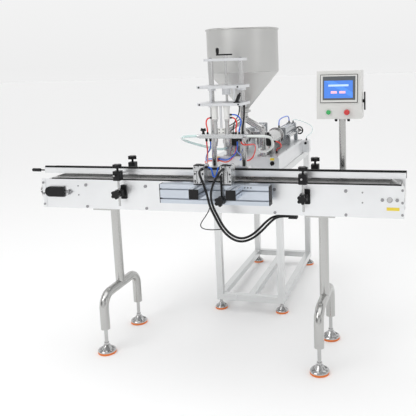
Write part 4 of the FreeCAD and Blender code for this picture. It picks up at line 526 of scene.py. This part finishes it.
def add_ring(bm, radius, thickness, place, axis, sides, section):
    """A round ring of round section."""
    part = bmesh.new()
    rings = []
    for i in range(sides):
        a = 2 * math.pi * i / sides
        ring = []
        for j in range(section):
            b = 2 * math.pi * j / section
            reach = radius + thickness * math.cos(b)
            ring.append(part.verts.new((reach * math.cos(a), reach * math.sin(a), thickness * math.sin(b))))
        rings.append(ring)
    for i in range(sides):
        for j in range(section):
            k, m = (i + 1) % sides, (j + 1) % section
            part.faces.new((rings[i][j], rings[k][j], rings[k][m], rings[i][m]))
    bmesh.ops.transform(part, matrix=standing(place, axis), verts=part.verts)
    join(bm, part)


def front_of(name, wanted):
    """The foremost Y, about the conveyor, of the corners of a node that pass the test."""
    places = (v.co - CONVEYOR_MIDDLE for v in nodes[name].data.vertices)
    return min(p.y for p in places if wanted(p))


def screw_head(sides=24):
    """A socket cap screw of radius 1 that stands on its seat, with a hexagonal recess."""
    bm = bmesh.new()
    profile = [(1.0, 0.0, False), (1.0, 0.60, False), (0.95, 0.72, False), (0.84, 0.80, False),
               (0.56, 0.80, True), (0.52, 0.28, True)]
    rings = []
    for radius, height, six_sided in profile:
        ring = []
        for i in range(sides):
            angle = 2 * math.pi * i / sides
            across = math.cos((angle + math.pi / 6) % (math.pi / 3) - math.pi / 6) if six_sided else 1.0
            reach = radius * math.cos(math.pi / 6) / across if six_sided else radius
            ring.append(bm.verts.new((reach * math.cos(angle), reach * math.sin(angle), height)))
        rings.append(ring)
    skin_rings(bm, rings)
    bmesh.ops.recalc_face_normals(bm, faces=bm.faces)
    return bpy.data.objects.new("screw_head", mesh_of(bm, "screw_head"))


def screw_tree():
    """Geometry nodes that set a screw head on every point, turned and sized by the point."""
    tree = bpy.data.node_groups.new("screws_on_points", "GeometryNodeTree")
    sockets = [("Points", "INPUT", "NodeSocketGeometry"), ("Head", "INPUT", "NodeSocketObject"),
               ("Finish", "INPUT", "NodeSocketMaterial"), ("Screws", "OUTPUT", "NodeSocketGeometry")]
    for name, way, kind in sockets:
        tree.interface.new_socket(name, in_out=way, socket_type=kind)

    def add(kind, **settings):
        made = tree.nodes.new(kind)
        for key, value in settings.items():
            setattr(made, key, value)
        return made

    given, result = add("NodeGroupInput"), add("NodeGroupOutput")
    head = add("GeometryNodeObjectInfo", transform_space="ORIGINAL")
    facing = add("GeometryNodeInputNamedAttribute", data_type="FLOAT_VECTOR")
    facing.inputs["Name"].default_value = "facing"
    size = add("GeometryNodeInputNamedAttribute", data_type="FLOAT")
    size.inputs["Name"].default_value = "size"
    turn = add("FunctionNodeAlignRotationToVector", axis="Z")
    place = add("GeometryNodeInstanceOnPoints")
    solid = add("GeometryNodeRealizeInstances")
    finish = add("GeometryNodeSetMaterial")
    for source, target in [(given.outputs["Points"], place.inputs["Points"]),
                           (given.outputs["Head"], head.inputs["Object"]),
                           (head.outputs["Geometry"], place.inputs["Instance"]),
                           (facing.outputs["Attribute"], turn.inputs["Vector"]),
                           (turn.outputs["Rotation"], place.inputs["Rotation"]),
                           (size.outputs["Attribute"], place.inputs["Scale"]),
                           (place.outputs["Instances"], solid.inputs["Geometry"]),
                           (solid.outputs["Geometry"], finish.inputs["Geometry"]),
                           (given.outputs["Finish"], finish.inputs["Material"]),
                           (finish.outputs["Geometry"], result.inputs["Screws"])]:
        tree.links.new(source, target)
    return tree


def screws(name, places, material, body):
    """A group of screws: (point about the conveyor, the way the head faces, head radius)."""
    mesh = bpy.data.meshes.new(name)
    mesh.from_pydata([here(*place) for place, facing, size in places], [], [])
    facing = mesh.attributes.new("facing", "FLOAT_VECTOR", "POINT")
    facing.data.foreach_set("vector", [part for place, way, size in places for part in way])
    size = mesh.attributes.new("size", "FLOAT", "POINT")
    size.data.foreach_set("value", [amount for place, way, amount in places])
    points = put(name + "_points", mesh)
    grow = points.modifiers.new("screws", "NODES")
    grow.node_group = SCREW_TREE
    inputs = {item.name: item.identifier for item in SCREW_TREE.interface.items_tree
              if item.in_out == "INPUT"}
    grow[inputs["Head"]] = SCREW_HEAD
    grow[inputs["Finish"]] = MATERIALS[material]
    ready = points.evaluated_get(bpy.context.evaluated_depsgraph_get())
    made = bpy.data.meshes.new_from_object(ready)
    bpy.data.objects.remove(points)
    smooth_faces(made)
    made.set_sharp_from_angle(angle=SMOOTH_ANGLE)
    piece = put(name, made)
    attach(piece, body)


def add_fitting(bm, place, axis, radius, length):
    """A push-in fitting: base, neck, barrel and release ring, all round."""
    steps = [(1.10, 0.0), (1.10, 0.28), (0.80, 0.32), (0.80, 0.40), (0.96, 0.44), (0.96, 0.80),
             (0.72, 0.84), (0.72, 0.90), (0.86, 0.93), (0.80, 1.0)]
    profile = [(radius * wide, length * high) for wide, high in steps]
    add_turned(bm, profile, here(*place), axis, 20)


def route(name, points, radius):
    """A tube of round section on one smooth curve, which a route's points draw."""
    curve = bpy.data.curves.new(name, "CURVE")
    curve.dimensions = "3D"
    curve.resolution_u = CURVE_STEPS
    curve.bevel_depth = radius
    curve.bevel_resolution = 4
    curve.use_fill_caps = True
    spline = curve.splines.new("NURBS")
    spline.points.add(len(points) - 1)
    for point, place in zip(spline.points, points):
        point.co = (*here(*place), 1.0)
    spline.order_u = 3
    spline.use_endpoint_u = True
    spline.resolution_u = CURVE_STEPS
    return curve


def centreline(curve):
    """The points along the middle of a tube."""
    bare = curve.copy()
    bare.bevel_depth = 0
    probe = bpy.data.objects.new("probe", bare)
    line = bpy.data.meshes.new_from_object(probe)
    points = [v.co.copy() for v in line.vertices]
    bpy.data.objects.remove(probe)
    bpy.data.curves.remove(bare)
    bpy.data.meshes.remove(line)
    return points


def length_of(points):
    return sum((second - first).length for first, second in zip(points, points[1:]))


def hose(name, points, radius, material, body, replaced=None):
    """A hose, cable or tube that stays with one body."""
    curve = route(name, points, radius)
    curve.materials.append(MATERIALS[material])
    piece = put(name, curve)
    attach(piece, body)
    if replaced:
        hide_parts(replaced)
    length_of(centreline(curve))


def following_hose(name, points, radius, material, replaced=None):
    """A hose from the nozzle crossbar to the machine, made into a mesh of its own that is set on no body."""
    curve = route(name, points, radius)
    middle = centreline(curve)
    tube = bpy.data.objects.new(name, curve)
    mesh = bpy.data.meshes.new_from_object(tube)
    bpy.data.objects.remove(tube)
    bpy.data.curves.remove(curve)
    bm = bmesh.new()
    bm.from_mesh(mesh)
    bpy.data.meshes.remove(mesh)
    close_up(bm)
    mesh = mesh_of(bm, name)
    mesh.materials.append(MATERIALS[material])
    smooth_faces(mesh)
    piece = put(name, mesh)
    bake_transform(piece)
    if replaced:
        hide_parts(replaced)


def black_hoses():
    left = [(0.000, -0.212, 1.050), (0.000, -0.245, 1.050), (0.013, -0.270, 1.029), (0.032, -0.272, 0.985),
            (0.044, -0.262, 0.930), (0.051, -0.252, 0.870), (0.076, -0.243, 0.808), (0.104, -0.238, 0.750),
            (0.146, -0.234, 0.704), (0.200, -0.230, 0.684), (0.256, -0.219, 0.700), (0.298, -0.190, 0.732),
            (0.328, -0.148, 0.764), (0.352, -0.110, 0.784), (0.384, -0.093, 0.790), (0.420, -0.093, 0.790)]
    right = [(0.112, -0.212, 1.050), (0.112, -0.245, 1.050), (0.103, -0.270, 1.029), (0.080, -0.276, 0.986),
             (0.062, -0.266, 0.930), (0.067, -0.254, 0.872), (0.091, -0.245, 0.815), (0.116, -0.240, 0.762),
             (0.154, -0.235, 0.719), (0.203, -0.230, 0.701), (0.250, -0.221, 0.716), (0.288, -0.194, 0.746),
             (0.316, -0.150, 0.776), (0.338, -0.100, 0.788), (0.379, -0.076, 0.790), (0.420, -0.076, 0.790)]
    cable = [(0.034, -0.196, 0.869), (0.030, -0.198, 0.842), (0.010, -0.202, 0.808), (-0.014, -0.206, 0.776),
             (-0.022, -0.208, 0.755), (-0.008, -0.210, 0.741), (0.022, -0.214, 0.738), (0.062, -0.223, 0.741),
             (0.097, -0.236, 0.749)]
    hose("hose_stop_left", left, BLACK_HOSE_RADIUS, "hose", "machine_frame",
         "black_hose_left")
    hose("hose_stop_right", right, BLACK_HOSE_RADIUS, "hose", "machine_frame",
         "black_hose_right")
    hose("cable_sensor", cable, CABLE_RADIUS, "hose", "machine_frame", "sensor_cable")


def product_hoses():
    left = [(-0.0938, 0.000, 1.194), (-0.142, 0.000, 1.194), (-0.196, 0.030, 1.184), (-0.224, 0.100, 1.162),
            (-0.215, 0.195, 1.132), (-0.175, 0.285, 1.100), (-0.118, 0.350, 1.072), (-0.085, 0.410, 1.062),
            (-0.085, 0.456, 1.062)]
    right = [(0.1838, 0.000, 1.194), (0.231, 0.000, 1.194), (0.274, 0.022, 1.191), (0.298, 0.062, 1.180),
             (0.290, 0.142, 1.144), (0.262, 0.236, 1.098), (0.205, 0.318, 1.062), (0.152, 0.372, 1.053),
             (0.135, 0.414, 1.062), (0.135, 0.456, 1.062)]
    following_hose("product_tube_left", left, PRODUCT_HOSE_RADIUS, "clear",
                   "product_hose_left")
    following_hose("product_tube_right", right, PRODUCT_HOSE_RADIUS, "milky",
                   "product_hose_right")


def air_tubes():
    """The thin tubes about the valves, nozzles and cylinders."""
    hose("tube_red_casing", [(-0.143, 0.471, 0.985), (-0.114, 0.463, 0.974), (-0.082, 0.458, 0.973),
                             (-0.056, 0.458, 0.990), (-0.042, 0.464, 1.012), (-0.036, 0.484, 1.034),
                             (-0.035, 0.506, 1.052), (-0.035, 0.514, 1.070)],
         CASING_TUBE_RADIUS, "red_tube", "machine_frame", "air_tube_red")
    tubes = [
        ("tube_blue_casing", "blue_tube", [
            (-0.143, 0.471, 0.994), (-0.112, 0.462, 0.986), (-0.080, 0.455, 0.988), (-0.050, 0.452, 1.004),
            (-0.024, 0.458, 1.030), (-0.024, 0.486, 1.052), (-0.026, 0.508, 1.068)]),
        ("tube_red_left", "red_tube", [
            (-0.042, 0.000, 1.169), (-0.042, 0.002, 1.145), (-0.050, 0.030, 1.110), (-0.078, 0.100, 1.062),
            (-0.122, 0.220, 1.012), (-0.168, 0.335, 0.984), (-0.215, 0.420, 0.979), (-0.225, 0.471, 0.979),
            (-0.180, 0.471, 0.979)]),
        ("tube_blue_left", "blue_tube", [
            (-0.020, 0.000, 1.169), (-0.020, 0.004, 1.148), (-0.036, 0.036, 1.118), (-0.074, 0.085, 1.084),
            (-0.118, 0.180, 1.040), (-0.162, 0.310, 1.004), (-0.204, 0.412, 0.992), (-0.214, 0.471, 0.991),
            (-0.180, 0.471, 0.991)]),
        ("tube_red_right", "red_tube", [
            (0.150, 0.000, 1.169), (0.152, 0.006, 1.146), (0.176, 0.050, 1.140), (0.186, 0.150, 1.132),
            (0.150, 0.290, 1.080), (0.108, 0.380, 1.020), (0.072, 0.414, 0.992), (0.030, 0.422, 0.990),
            (0.030, 0.470, 0.996)]),
        ("tube_blue_right", "blue_tube", [
            (0.130, 0.000, 1.169), (0.130, 0.006, 1.142), (0.112, 0.045, 1.112), (0.095, 0.110, 1.090),
            (0.080, 0.230, 1.055), (0.050, 0.350, 1.015), (0.010, 0.408, 0.992), (0.008, 0.470, 0.996)]),
        ("tube_red_valve", "red_tube", [
            (0.211, 0.520, 1.095), (0.236, 0.522, 1.093), (0.242, 0.560, 1.060), (0.214, 0.610, 1.040),
            (0.191, 0.638, 1.034), (0.190, 0.640, 1.015)]),
        ("tube_blue_cylinder", "blue_tube", [
            (0.120, 1.018, 1.136), (0.120, 1.018, 1.158), (0.118, 1.046, 1.176), (0.116, 1.130, 1.180),
            (0.116, 1.240, 1.180), (0.118, 1.324, 1.176), (0.120, 1.352, 1.158), (0.120, 1.352, 1.136)]),
        ("tube_blue_stops", "blue_tube", [
            (0.020, -0.172, 1.056), (0.040, -0.172, 1.054), (0.046, -0.176, 1.026), (0.052, -0.178, 1.006),
            (0.066, -0.178, 1.010), (0.072, -0.176, 1.036), (0.076, -0.172, 1.054), (0.084, -0.172, 1.056)])]
    for name, material, points in tubes:
        starts_at_crossbar = points[0][1] == 0.0
        if starts_at_crossbar:
            following_hose(name, points, AIR_TUBE_RADIUS, material)
        else:
            hose(name, points, AIR_TUBE_RADIUS, material, "machine_frame")
    hose("tube_clear_loop", [(0.150, 1.352, 1.135), (0.150, 1.352, 1.150), (0.200, 1.350, 1.140),
                             (0.260, 1.345, 1.118), (0.298, 1.335, 1.096), (0.304, 1.310, 1.060),
                             (0.280, 1.275, 1.040), (0.265, 1.262, 1.030), (0.265, 1.262, 1.016)],
         CLEAR_TUBE_RADIUS, "clear", "machine_frame")
    moving = [
        ("tube_red_nozzle_left", "red_tube", NOZZLE_TUBE_RADIUS, [
            (-0.014, 0.000, 1.292), (-0.032, 0.000, 1.292), (-0.042, 0.000, 1.262), (-0.034, 0.000, 1.235),
            (-0.034, 0.000, 1.213)]),
        ("tube_red_nozzle_right", "red_tube", NOZZLE_TUBE_RADIUS, [
            (0.104, 0.000, 1.292), (0.122, 0.000, 1.292), (0.133, 0.000, 1.262), (0.125, 0.000, 1.235),
            (0.125, 0.000, 1.213)]),
        ("tube_blue_nozzle_right", "blue_tube", NOZZLE_TUBE_RADIUS, [
            (0.104, 0.000, 1.308), (0.136, 0.000, 1.310), (0.160, 0.000, 1.272), (0.143, 0.000, 1.236),
            (0.143, 0.000, 1.213)]),
        ("tube_black_arc", "hose", 0.003, [
            (0.107, 0.008, 1.213), (0.107, 0.010, 1.240), (0.112, 0.030, 1.270), (0.128, 0.050, 1.300),
            (0.132, 0.056, 1.330), (0.132, 0.056, 1.348)]),
        ("hose_behind_nozzles", "hose", 0.005, [
            (0.160, 0.008, 1.215), (0.160, 0.010, 1.240), (0.158, 0.040, 1.270), (0.154, 0.066, 1.300),
            (0.154, 0.070, 1.330), (0.154, 0.070, 1.346)])]
    for name, material, radius, points in moving:
        hose(name, points, radius, material, "nozzle_lift")


def add_fittings():
    """Push-in fittings where air tubes start and end, and cable glands under the panel."""
    groups = {
        "fittings_machine": ("machine_frame", [
            ((-0.143, 0.471, 0.985), X_AXIS, 0.0043, 0.010), ((-0.143, 0.471, 0.994), X_AXIS, 0.0043, 0.010),
            ((-0.172, 0.471, 0.979), -X_AXIS, 0.0050, 0.012), ((-0.172, 0.471, 0.991), -X_AXIS, 0.0050, 0.012),
            ((0.009, -0.172, 1.056), X_AXIS, 0.0060, 0.014), ((0.095, -0.172, 1.056), -X_AXIS, 0.0060, 0.014),
            ((0.201, 0.520, 1.095), X_AXIS, 0.0065, 0.014), ((0.190, 0.640, 1.006), Z_AXIS, 0.0065, 0.012),
            ((0.030, 0.480, 0.996), -Y_AXIS, 0.0055, 0.014), ((0.008, 0.480, 0.996), -Y_AXIS, 0.0055, 0.014),
            ((0.120, 1.018, 1.125), Z_AXIS, 0.0065, 0.014), ((0.120, 1.352, 1.125), Z_AXIS, 0.0065, 0.014),
            ((0.150, 1.352, 1.125), Z_AXIS, 0.0055, 0.013), ((0.265, 1.262, 1.006), Z_AXIS, 0.0055, 0.013),
            ((-0.019, 0.520, 1.110), X_AXIS, 0.0065, 0.014)]),
        "fittings_nozzles": ("nozzle_lift", [
            ((-0.006, 0.000, 1.292), -X_AXIS, 0.0050, 0.011), ((0.096, 0.000, 1.292), X_AXIS, 0.0050, 0.011),
            ((0.096, 0.000, 1.308), X_AXIS, 0.0050, 0.011), ((-0.034, 0.000, 1.205), Z_AXIS, 0.0055, 0.011),
            ((0.125, 0.000, 1.205), Z_AXIS, 0.0055, 0.011), ((0.143, 0.000, 1.205), Z_AXIS, 0.0055, 0.011),
            ((0.107, 0.008, 1.205), Z_AXIS, 0.0055, 0.011), ((0.160, 0.008, 1.205), Z_AXIS, 0.0075, 0.014),
            ((0.132, 0.056, 1.356), -Z_AXIS, 0.0055, 0.011), ((0.154, 0.070, 1.356), -Z_AXIS, 0.0075, 0.014),
            ((-0.042, 0.000, 1.183), -Z_AXIS, 0.0070, 0.018), ((-0.020, 0.000, 1.183), -Z_AXIS, 0.0070, 0.018),
            ((0.130, 0.000, 1.183), -Z_AXIS, 0.0070, 0.018), ((0.150, 0.000, 1.183), -Z_AXIS, 0.0070, 0.018)]),
        "panel_glands": ("panel", [
            ((0.640, 0.127, 1.275), -Z_AXIS, 0.0080, 0.018), ((0.706, 0.127, 1.275), -Z_AXIS, 0.0080, 0.018)])}
    for name, (body, places) in groups.items():
        bm = bmesh.new()
        for place, axis, radius, length in places:
            add_fitting(bm, place, axis, radius, length)
        keep(name, bm, "black", body)


def add_screws():
    """Socket screws of the covers, plates, cylinders, casing and panel."""
    front, back, up = (0, -1, 0), (0, 1, 0), (0, 0, 1)
    cover = front_of("takeup_covers", lambda p: True)
    small = [((x, 0.480, 0.925), front, 0.0036) for x in (-0.178, -0.040, 0.100, 0.228)]
    small += [((x, y, 1.006), up, 0.0036) for x in (-0.178, 0.228) for y in (0.500, 0.760, 1.020, 1.270)]
    small += [((x, 0.115, 1.603), up, 0.0075) for x in (-0.041, 0.131)]
    screws("screws_steel", small, "bolt", "machine_frame")
    dark = [((-0.958, cover, 0.9066), front, 0.0042), ((-0.8666, cover, 0.9200), front, 0.0036),
            ((-0.8650, cover, 0.8920), front, 0.0036)]
    dark += [((x + side, -0.1942, z), front, 0.0044) for x in STOP_CYLINDER_XS for side in (-0.021, 0.021)
             for z in (0.988, 1.025)]
    dark += [((x, -0.200, 0.9795), front, 0.0026) for x in (-0.040, -0.028, -0.012, 0.000)]
    dark += [((x, -0.200, 1.060), front, 0.0030) for x in (-0.040, 0.104, 0.146)]
    dark += [((x, -0.205, 0.9600), front, 0.0032) for x in (0.224, 0.240, 0.256)]
    screws("screws_black", dark, "black_satin", "machine_frame")
    holder = front_of("lift_carriage", in_holder)
    plates = front_of("lift_carriage", lambda p: p.z > 1.3565)
    lift = [((x, holder, z), front, 0.0028) for x in (0.034, 0.056) for z in (1.213, 1.229)]
    lift += [((x, plates, z), front, 0.0045) for x in (-0.062, 0.152) for z in (1.3635, 1.4545)]
    screws("screws_nozzles", lift, "black_satin", "nozzle_lift")
    rear = [((x, 0.186, z), back, 0.0045) for x in (0.562, 0.764) for z in (1.290, 1.506)]
    screws("screws_panel", rear, "chrome", "panel")


def add_nozzle_details():
    """The wing lever on the crossbar and the slanting sensor between the lift plates."""
    bm = bmesh.new()
    foot = here(-0.058, 0.0, 1.205)
    stem = [(0.008, 0), (0.008, 0.006), (0.0065, 0.008), (0.0065, 0.018), (0.005, 0.021)]
    add_turned(bm, stem, foot, Z_AXIS, 20)
    for side in (1, -1):
        wing = bmesh.new()
        add_block(wing, Vector((0.004, -0.0026, 0.0)), Vector((0.018, 0.0026, 0.016)), 0.0018)
        turn = Matrix.Rotation(0 if side > 0 else math.pi, 4, "Z") @ Matrix.Rotation(-0.35, 4, "Y")
        bmesh.ops.transform(wing, matrix=Matrix.Translation(foot + Z_AXIS * 0.012) @ turn, verts=wing.verts)
        join(bm, wing)
    keep("crossbar_wing_lever", bm, "black", "nozzle_lift")
    bm = bmesh.new()
    body = bmesh.new()
    add_block(body, Vector((-0.007, -0.011, 0.0)), Vector((0.007, 0.011, 0.044)), 0.0015)
    add_turned(body, [(0.0045, 0), (0.0045, 0.008), (0.0035, 0.010)], Vector((0, 0, 0.044)), Z_AXIS, 16)
    place = Matrix.Translation(here(0.136, -0.006, 1.3735)) @ Matrix.Rotation(0.42, 4, "Y")
    bmesh.ops.transform(body, matrix=place, verts=body.verts)
    join(bm, body)
    add_block(bm, here(0.124, -0.022, 1.371), here(0.152, 0.010, 1.377), 0.001)
    keep("lift_sensor", bm, "black_satin", "nozzle_lift")


def add_stop_details():
    """Sensor grooves, port plates and edge marks on the fronts of the two stop cylinders."""
    bm = bmesh.new()
    for x in STOP_CYLINDER_XS:
        for side in (-0.0105, 0.0105):
            add_block(bm, here(x + side - 0.0014, -0.2006, 0.980),
                      here(x + side + 0.0014, -0.1996, 1.040), 0.0003)
        add_block(bm, here(x - 0.026, -0.2008, 1.0385), here(x - 0.004, -0.1996, 1.0405), 0.0003)
        add_block(bm, here(x - 0.0275, -0.198, 1.0655), here(x - 0.002, -0.150, 1.0700), 0.0010)
        add_block(bm, here(x + 0.006, -0.196, 1.0655), here(x + 0.026, -0.176, 1.0720), 0.0010)
    for x in (0.099, 0.149):
        add_block(bm, here(x - 0.0012, -0.2006, 1.004), here(x + 0.0012, -0.1996, 1.014), 0.0003)
    keep("stop_cylinder_marks", bm, "black_satin", "machine_frame")


def add_valve_details():
    """Dark end plates, ribs and pilot blocks of the two valve drives."""
    bm = bmesh.new()
    dome = [(0.009, 0), (0.009, 0.010), (0.007, 0.013), (0.003, 0.014)]
    for x in VALVE_XS:
        add_block(bm, here(x + 0.004, 0.4985, 1.070), here(x + 0.062, 0.502, 1.120), 0.0012)
        for k in range(4):
            add_block(bm, here(x + 0.010 + 0.013 * k, 0.4960, 1.074),
                      here(x + 0.016 + 0.013 * k, 0.4990, 1.116), 0.0008)
        add_block(bm, here(x + 0.016, 0.508, 1.1235), here(x + 0.050, 0.532, 1.138), 0.0020)
        add_turned(bm, dome, here(x + 0.033, 0.520, 1.138), Z_AXIS, 20)
    keep("valve_drive_fronts", bm, "black_satin", "machine_frame")


def add_screen():
    """The display on the leaning front: a rim of painted shade round the frame, pale frame, dark glass, lit
    face and blank keys.
    """
    lean = math.atan2(DISPLAY_SETBACK, DISPLAY_SLOPE_TOP - DISPLAY_SLOPE_FOOT)
    place = Matrix.Translation(here(*DISPLAY_MIDDLE)) @ Matrix.Rotation(-lean, 4, "X")
    # The rim is a near-black sheet of painted shade in the gap round the display's frame
    fields = [("panel_rim", "recess_shade", 0, 0, 0.193, 0.146, 0.0045, 0.0015),
              ("panel_frame", "panel", 0, 0, 0.187, 0.140, 0.0060, 0.0010),
              ("panel_glass", "dark_frame", 0.001, 0.002, 0.168, 0.122, 0.0070, 0.0006),
              ("panel_screen", "screen", -0.002, -0.004, 0.148, 0.090, 0.0076, 0.0004),
              ("panel_row", "screen_pale", -0.002, 0.016, 0.104, 0.010, 0.0080, 0.0003),
              ("panel_key_left", "screen_pink", -0.025, -0.019, 0.031, 0.012, 0.0080, 0.0003),
              ("panel_key_right", "screen_pink", 0.019, -0.019, 0.031, 0.012, 0.0080, 0.0003)]
    for name, material, x, z, width, height, rise, sheet in fields:
        bm = bmesh.new()
        low = Vector((x - width / 2, -rise - sheet, z - height / 2))
        high = Vector((x + width / 2, -rise, z + height / 2))
        add_block(bm, low, high, 0.0001)
        bmesh.ops.transform(bm, matrix=place, verts=bm.verts)
        keep(name, bm, material, "panel", smooth=False)


def add_labels():
    """Blank yellow plates on the conveyor's front and on the casing."""
    plates = [("label_conveyor", (0.915, -0.1076, 0.840), (0.977, -0.107, 0.8562)),
              ("label_casing_left", (-0.166, 0.4794, 0.9992), (-0.138, 0.480, 1.0054)),
              ("label_casing_right", (0.186, 0.4794, 0.984), (0.212, 0.480, 0.9982))]
    for name, low, high in plates:
        bm = bmesh.new()
        add_block(bm, here(*low), here(*high), 0.0001)
        keep(name, bm, "yellow", "machine_frame", smooth=False)


def add_hopper_details():
    """The weld bead round the hopper and the wing nut of its clamp."""
    x, y = HOPPER_MIDDLE
    bm = bmesh.new()
    add_ring(bm, 0.2150, 0.0010, here(x, y, 1.521), Z_AXIS, 96, 6)
    keep("hopper_weld", bm, "chrome", "machine_frame")
    bm = bmesh.new()
    start = here(x, y - 0.036, 1.284)
    add_turned(bm, [(0.007, 0), (0.007, 0.012), (0.004, 0.013), (0.004, 0.030)], start, -Y_AXIS, 16)
    add_block(bm, start + Vector((-0.020, -0.028, -0.003)), start + Vector((0.020, -0.022, 0.003)), 0.002)
    keep("hopper_clamp_wing", bm, "chrome", "machine_frame")


def part_of_full(value):
    """Keeps a value between nought and one."""
    return value.at_least(0.0).at_most(1.0)


def add_lights():
    """An even, bright studio with two dark panels and a dim ring, so that metal has something to show."""
    world = bpy.data.worlds.new("studio")
    bpy.context.scene.world = world
    world.use_nodes = True
    air = Backdrop(world)
    across, up = air.axis("X"), air.axis("Z").size()
    behind = (air.axis("Y") * -1.0).above(0.0)
    left_panel = part_of_full(2.4 - (across + 0.62).size() * 8.0)
    right_panel = part_of_full(2.2 - (across - 0.72).size() * 14.0)
    near_horizon = (1.0 - up * 4.0).at_least(0.0)
    lifted = part_of_full(air.axis("Z") * 10.0 - 0.6)
    overhead = part_of_full(air.axis("Z") * 12.0 - 9.4)
    ring = part_of_full(1.6 - (air.axis("Z") - 0.64).size() * 12.0)
    panels = left_panel * LEFT_PANEL_LOSS + right_panel * RIGHT_PANEL_LOSS
    dark = behind * lifted * (1.3 - up).at_most(1.0) * panels + ring * RING_LOSS
    level = AIR_LEVEL + overhead * OVERHEAD_GAIN - near_horizon * HORIZON_LOSS - dark
    background = world.node_tree.nodes["Background"]
    background.inputs[0].default_value = (1.0, 1.0, 1.0, 1.0)
    air.link(level.at_least(LEAST_LEVEL), background.inputs[1])
    lamps = [("key", (-2.2, -3.4, 3.6), 2.4, 52), ("fill", (3.2, -2.2, 2.4), 2.0, 6),
             ("top", (0.2, 0.6, 4.2), 2.6, 10)]
    for name, place, size, power in lamps:
        data = bpy.data.lights.new(name, "AREA")
        data.size = size
        data.energy = power
        lamp = put(name, data)
        lamp.location = place
        lamp.rotation_euler = (Vector(LAMP_AIM) - Vector(place)).to_track_quat("-Z", "Y").to_euler()


def add_floor():
    bm = bmesh.new()
    corners = ((-1, -1), (1, -1), (1, 1), (-1, 1))
    bm.faces.new([bm.verts.new((x * FLOOR_REACH, y * FLOOR_REACH, 0)) for x, y in corners])
    mesh = mesh_of(bm, "floor")
    pale = Finish("pale_floor", (0.96, 0.96, 0.96), 0.85)
    mesh.materials.append(pale.material)
    floor = put("floor", mesh)


def add_camera():
    data = bpy.data.cameras.new("camera")
    data.sensor_width = SENSOR_MM
    data.lens = CAMERA_FOCAL_PIXELS / IMAGE_PIXELS * SENSOR_MM
    data.shift_x, data.shift_y = CAMERA_SHIFT
    data.clip_end = CAMERA_SIGHT
    camera = put("camera", data)
    turn = Matrix.Rotation(CAMERA_TURN_LEFT, 4, "Z")
    tilt = Matrix.Rotation(math.pi / 2 - CAMERA_TILT_DOWN, 4, "X")
    roll = Matrix.Rotation(CAMERA_ROLL, 4, "Z")
    camera.matrix_world = Matrix.Translation(here(*CAMERA_PLACE)) @ (turn @ tilt @ roll)
    bpy.context.scene.camera = camera


SCREW_TREE = screw_tree()
SCREW_HEAD = screw_head()

paint_nodes()
black_hoses()
product_hoses()
air_tubes()
add_fittings()
add_screws()
add_nozzle_details()
add_valve_details()
add_stop_details()
add_screen()
add_labels()
add_hopper_details()
add_floor()
add_lights()
add_camera()

view = bpy.context.scene.view_settings
view.view_transform = "Standard"
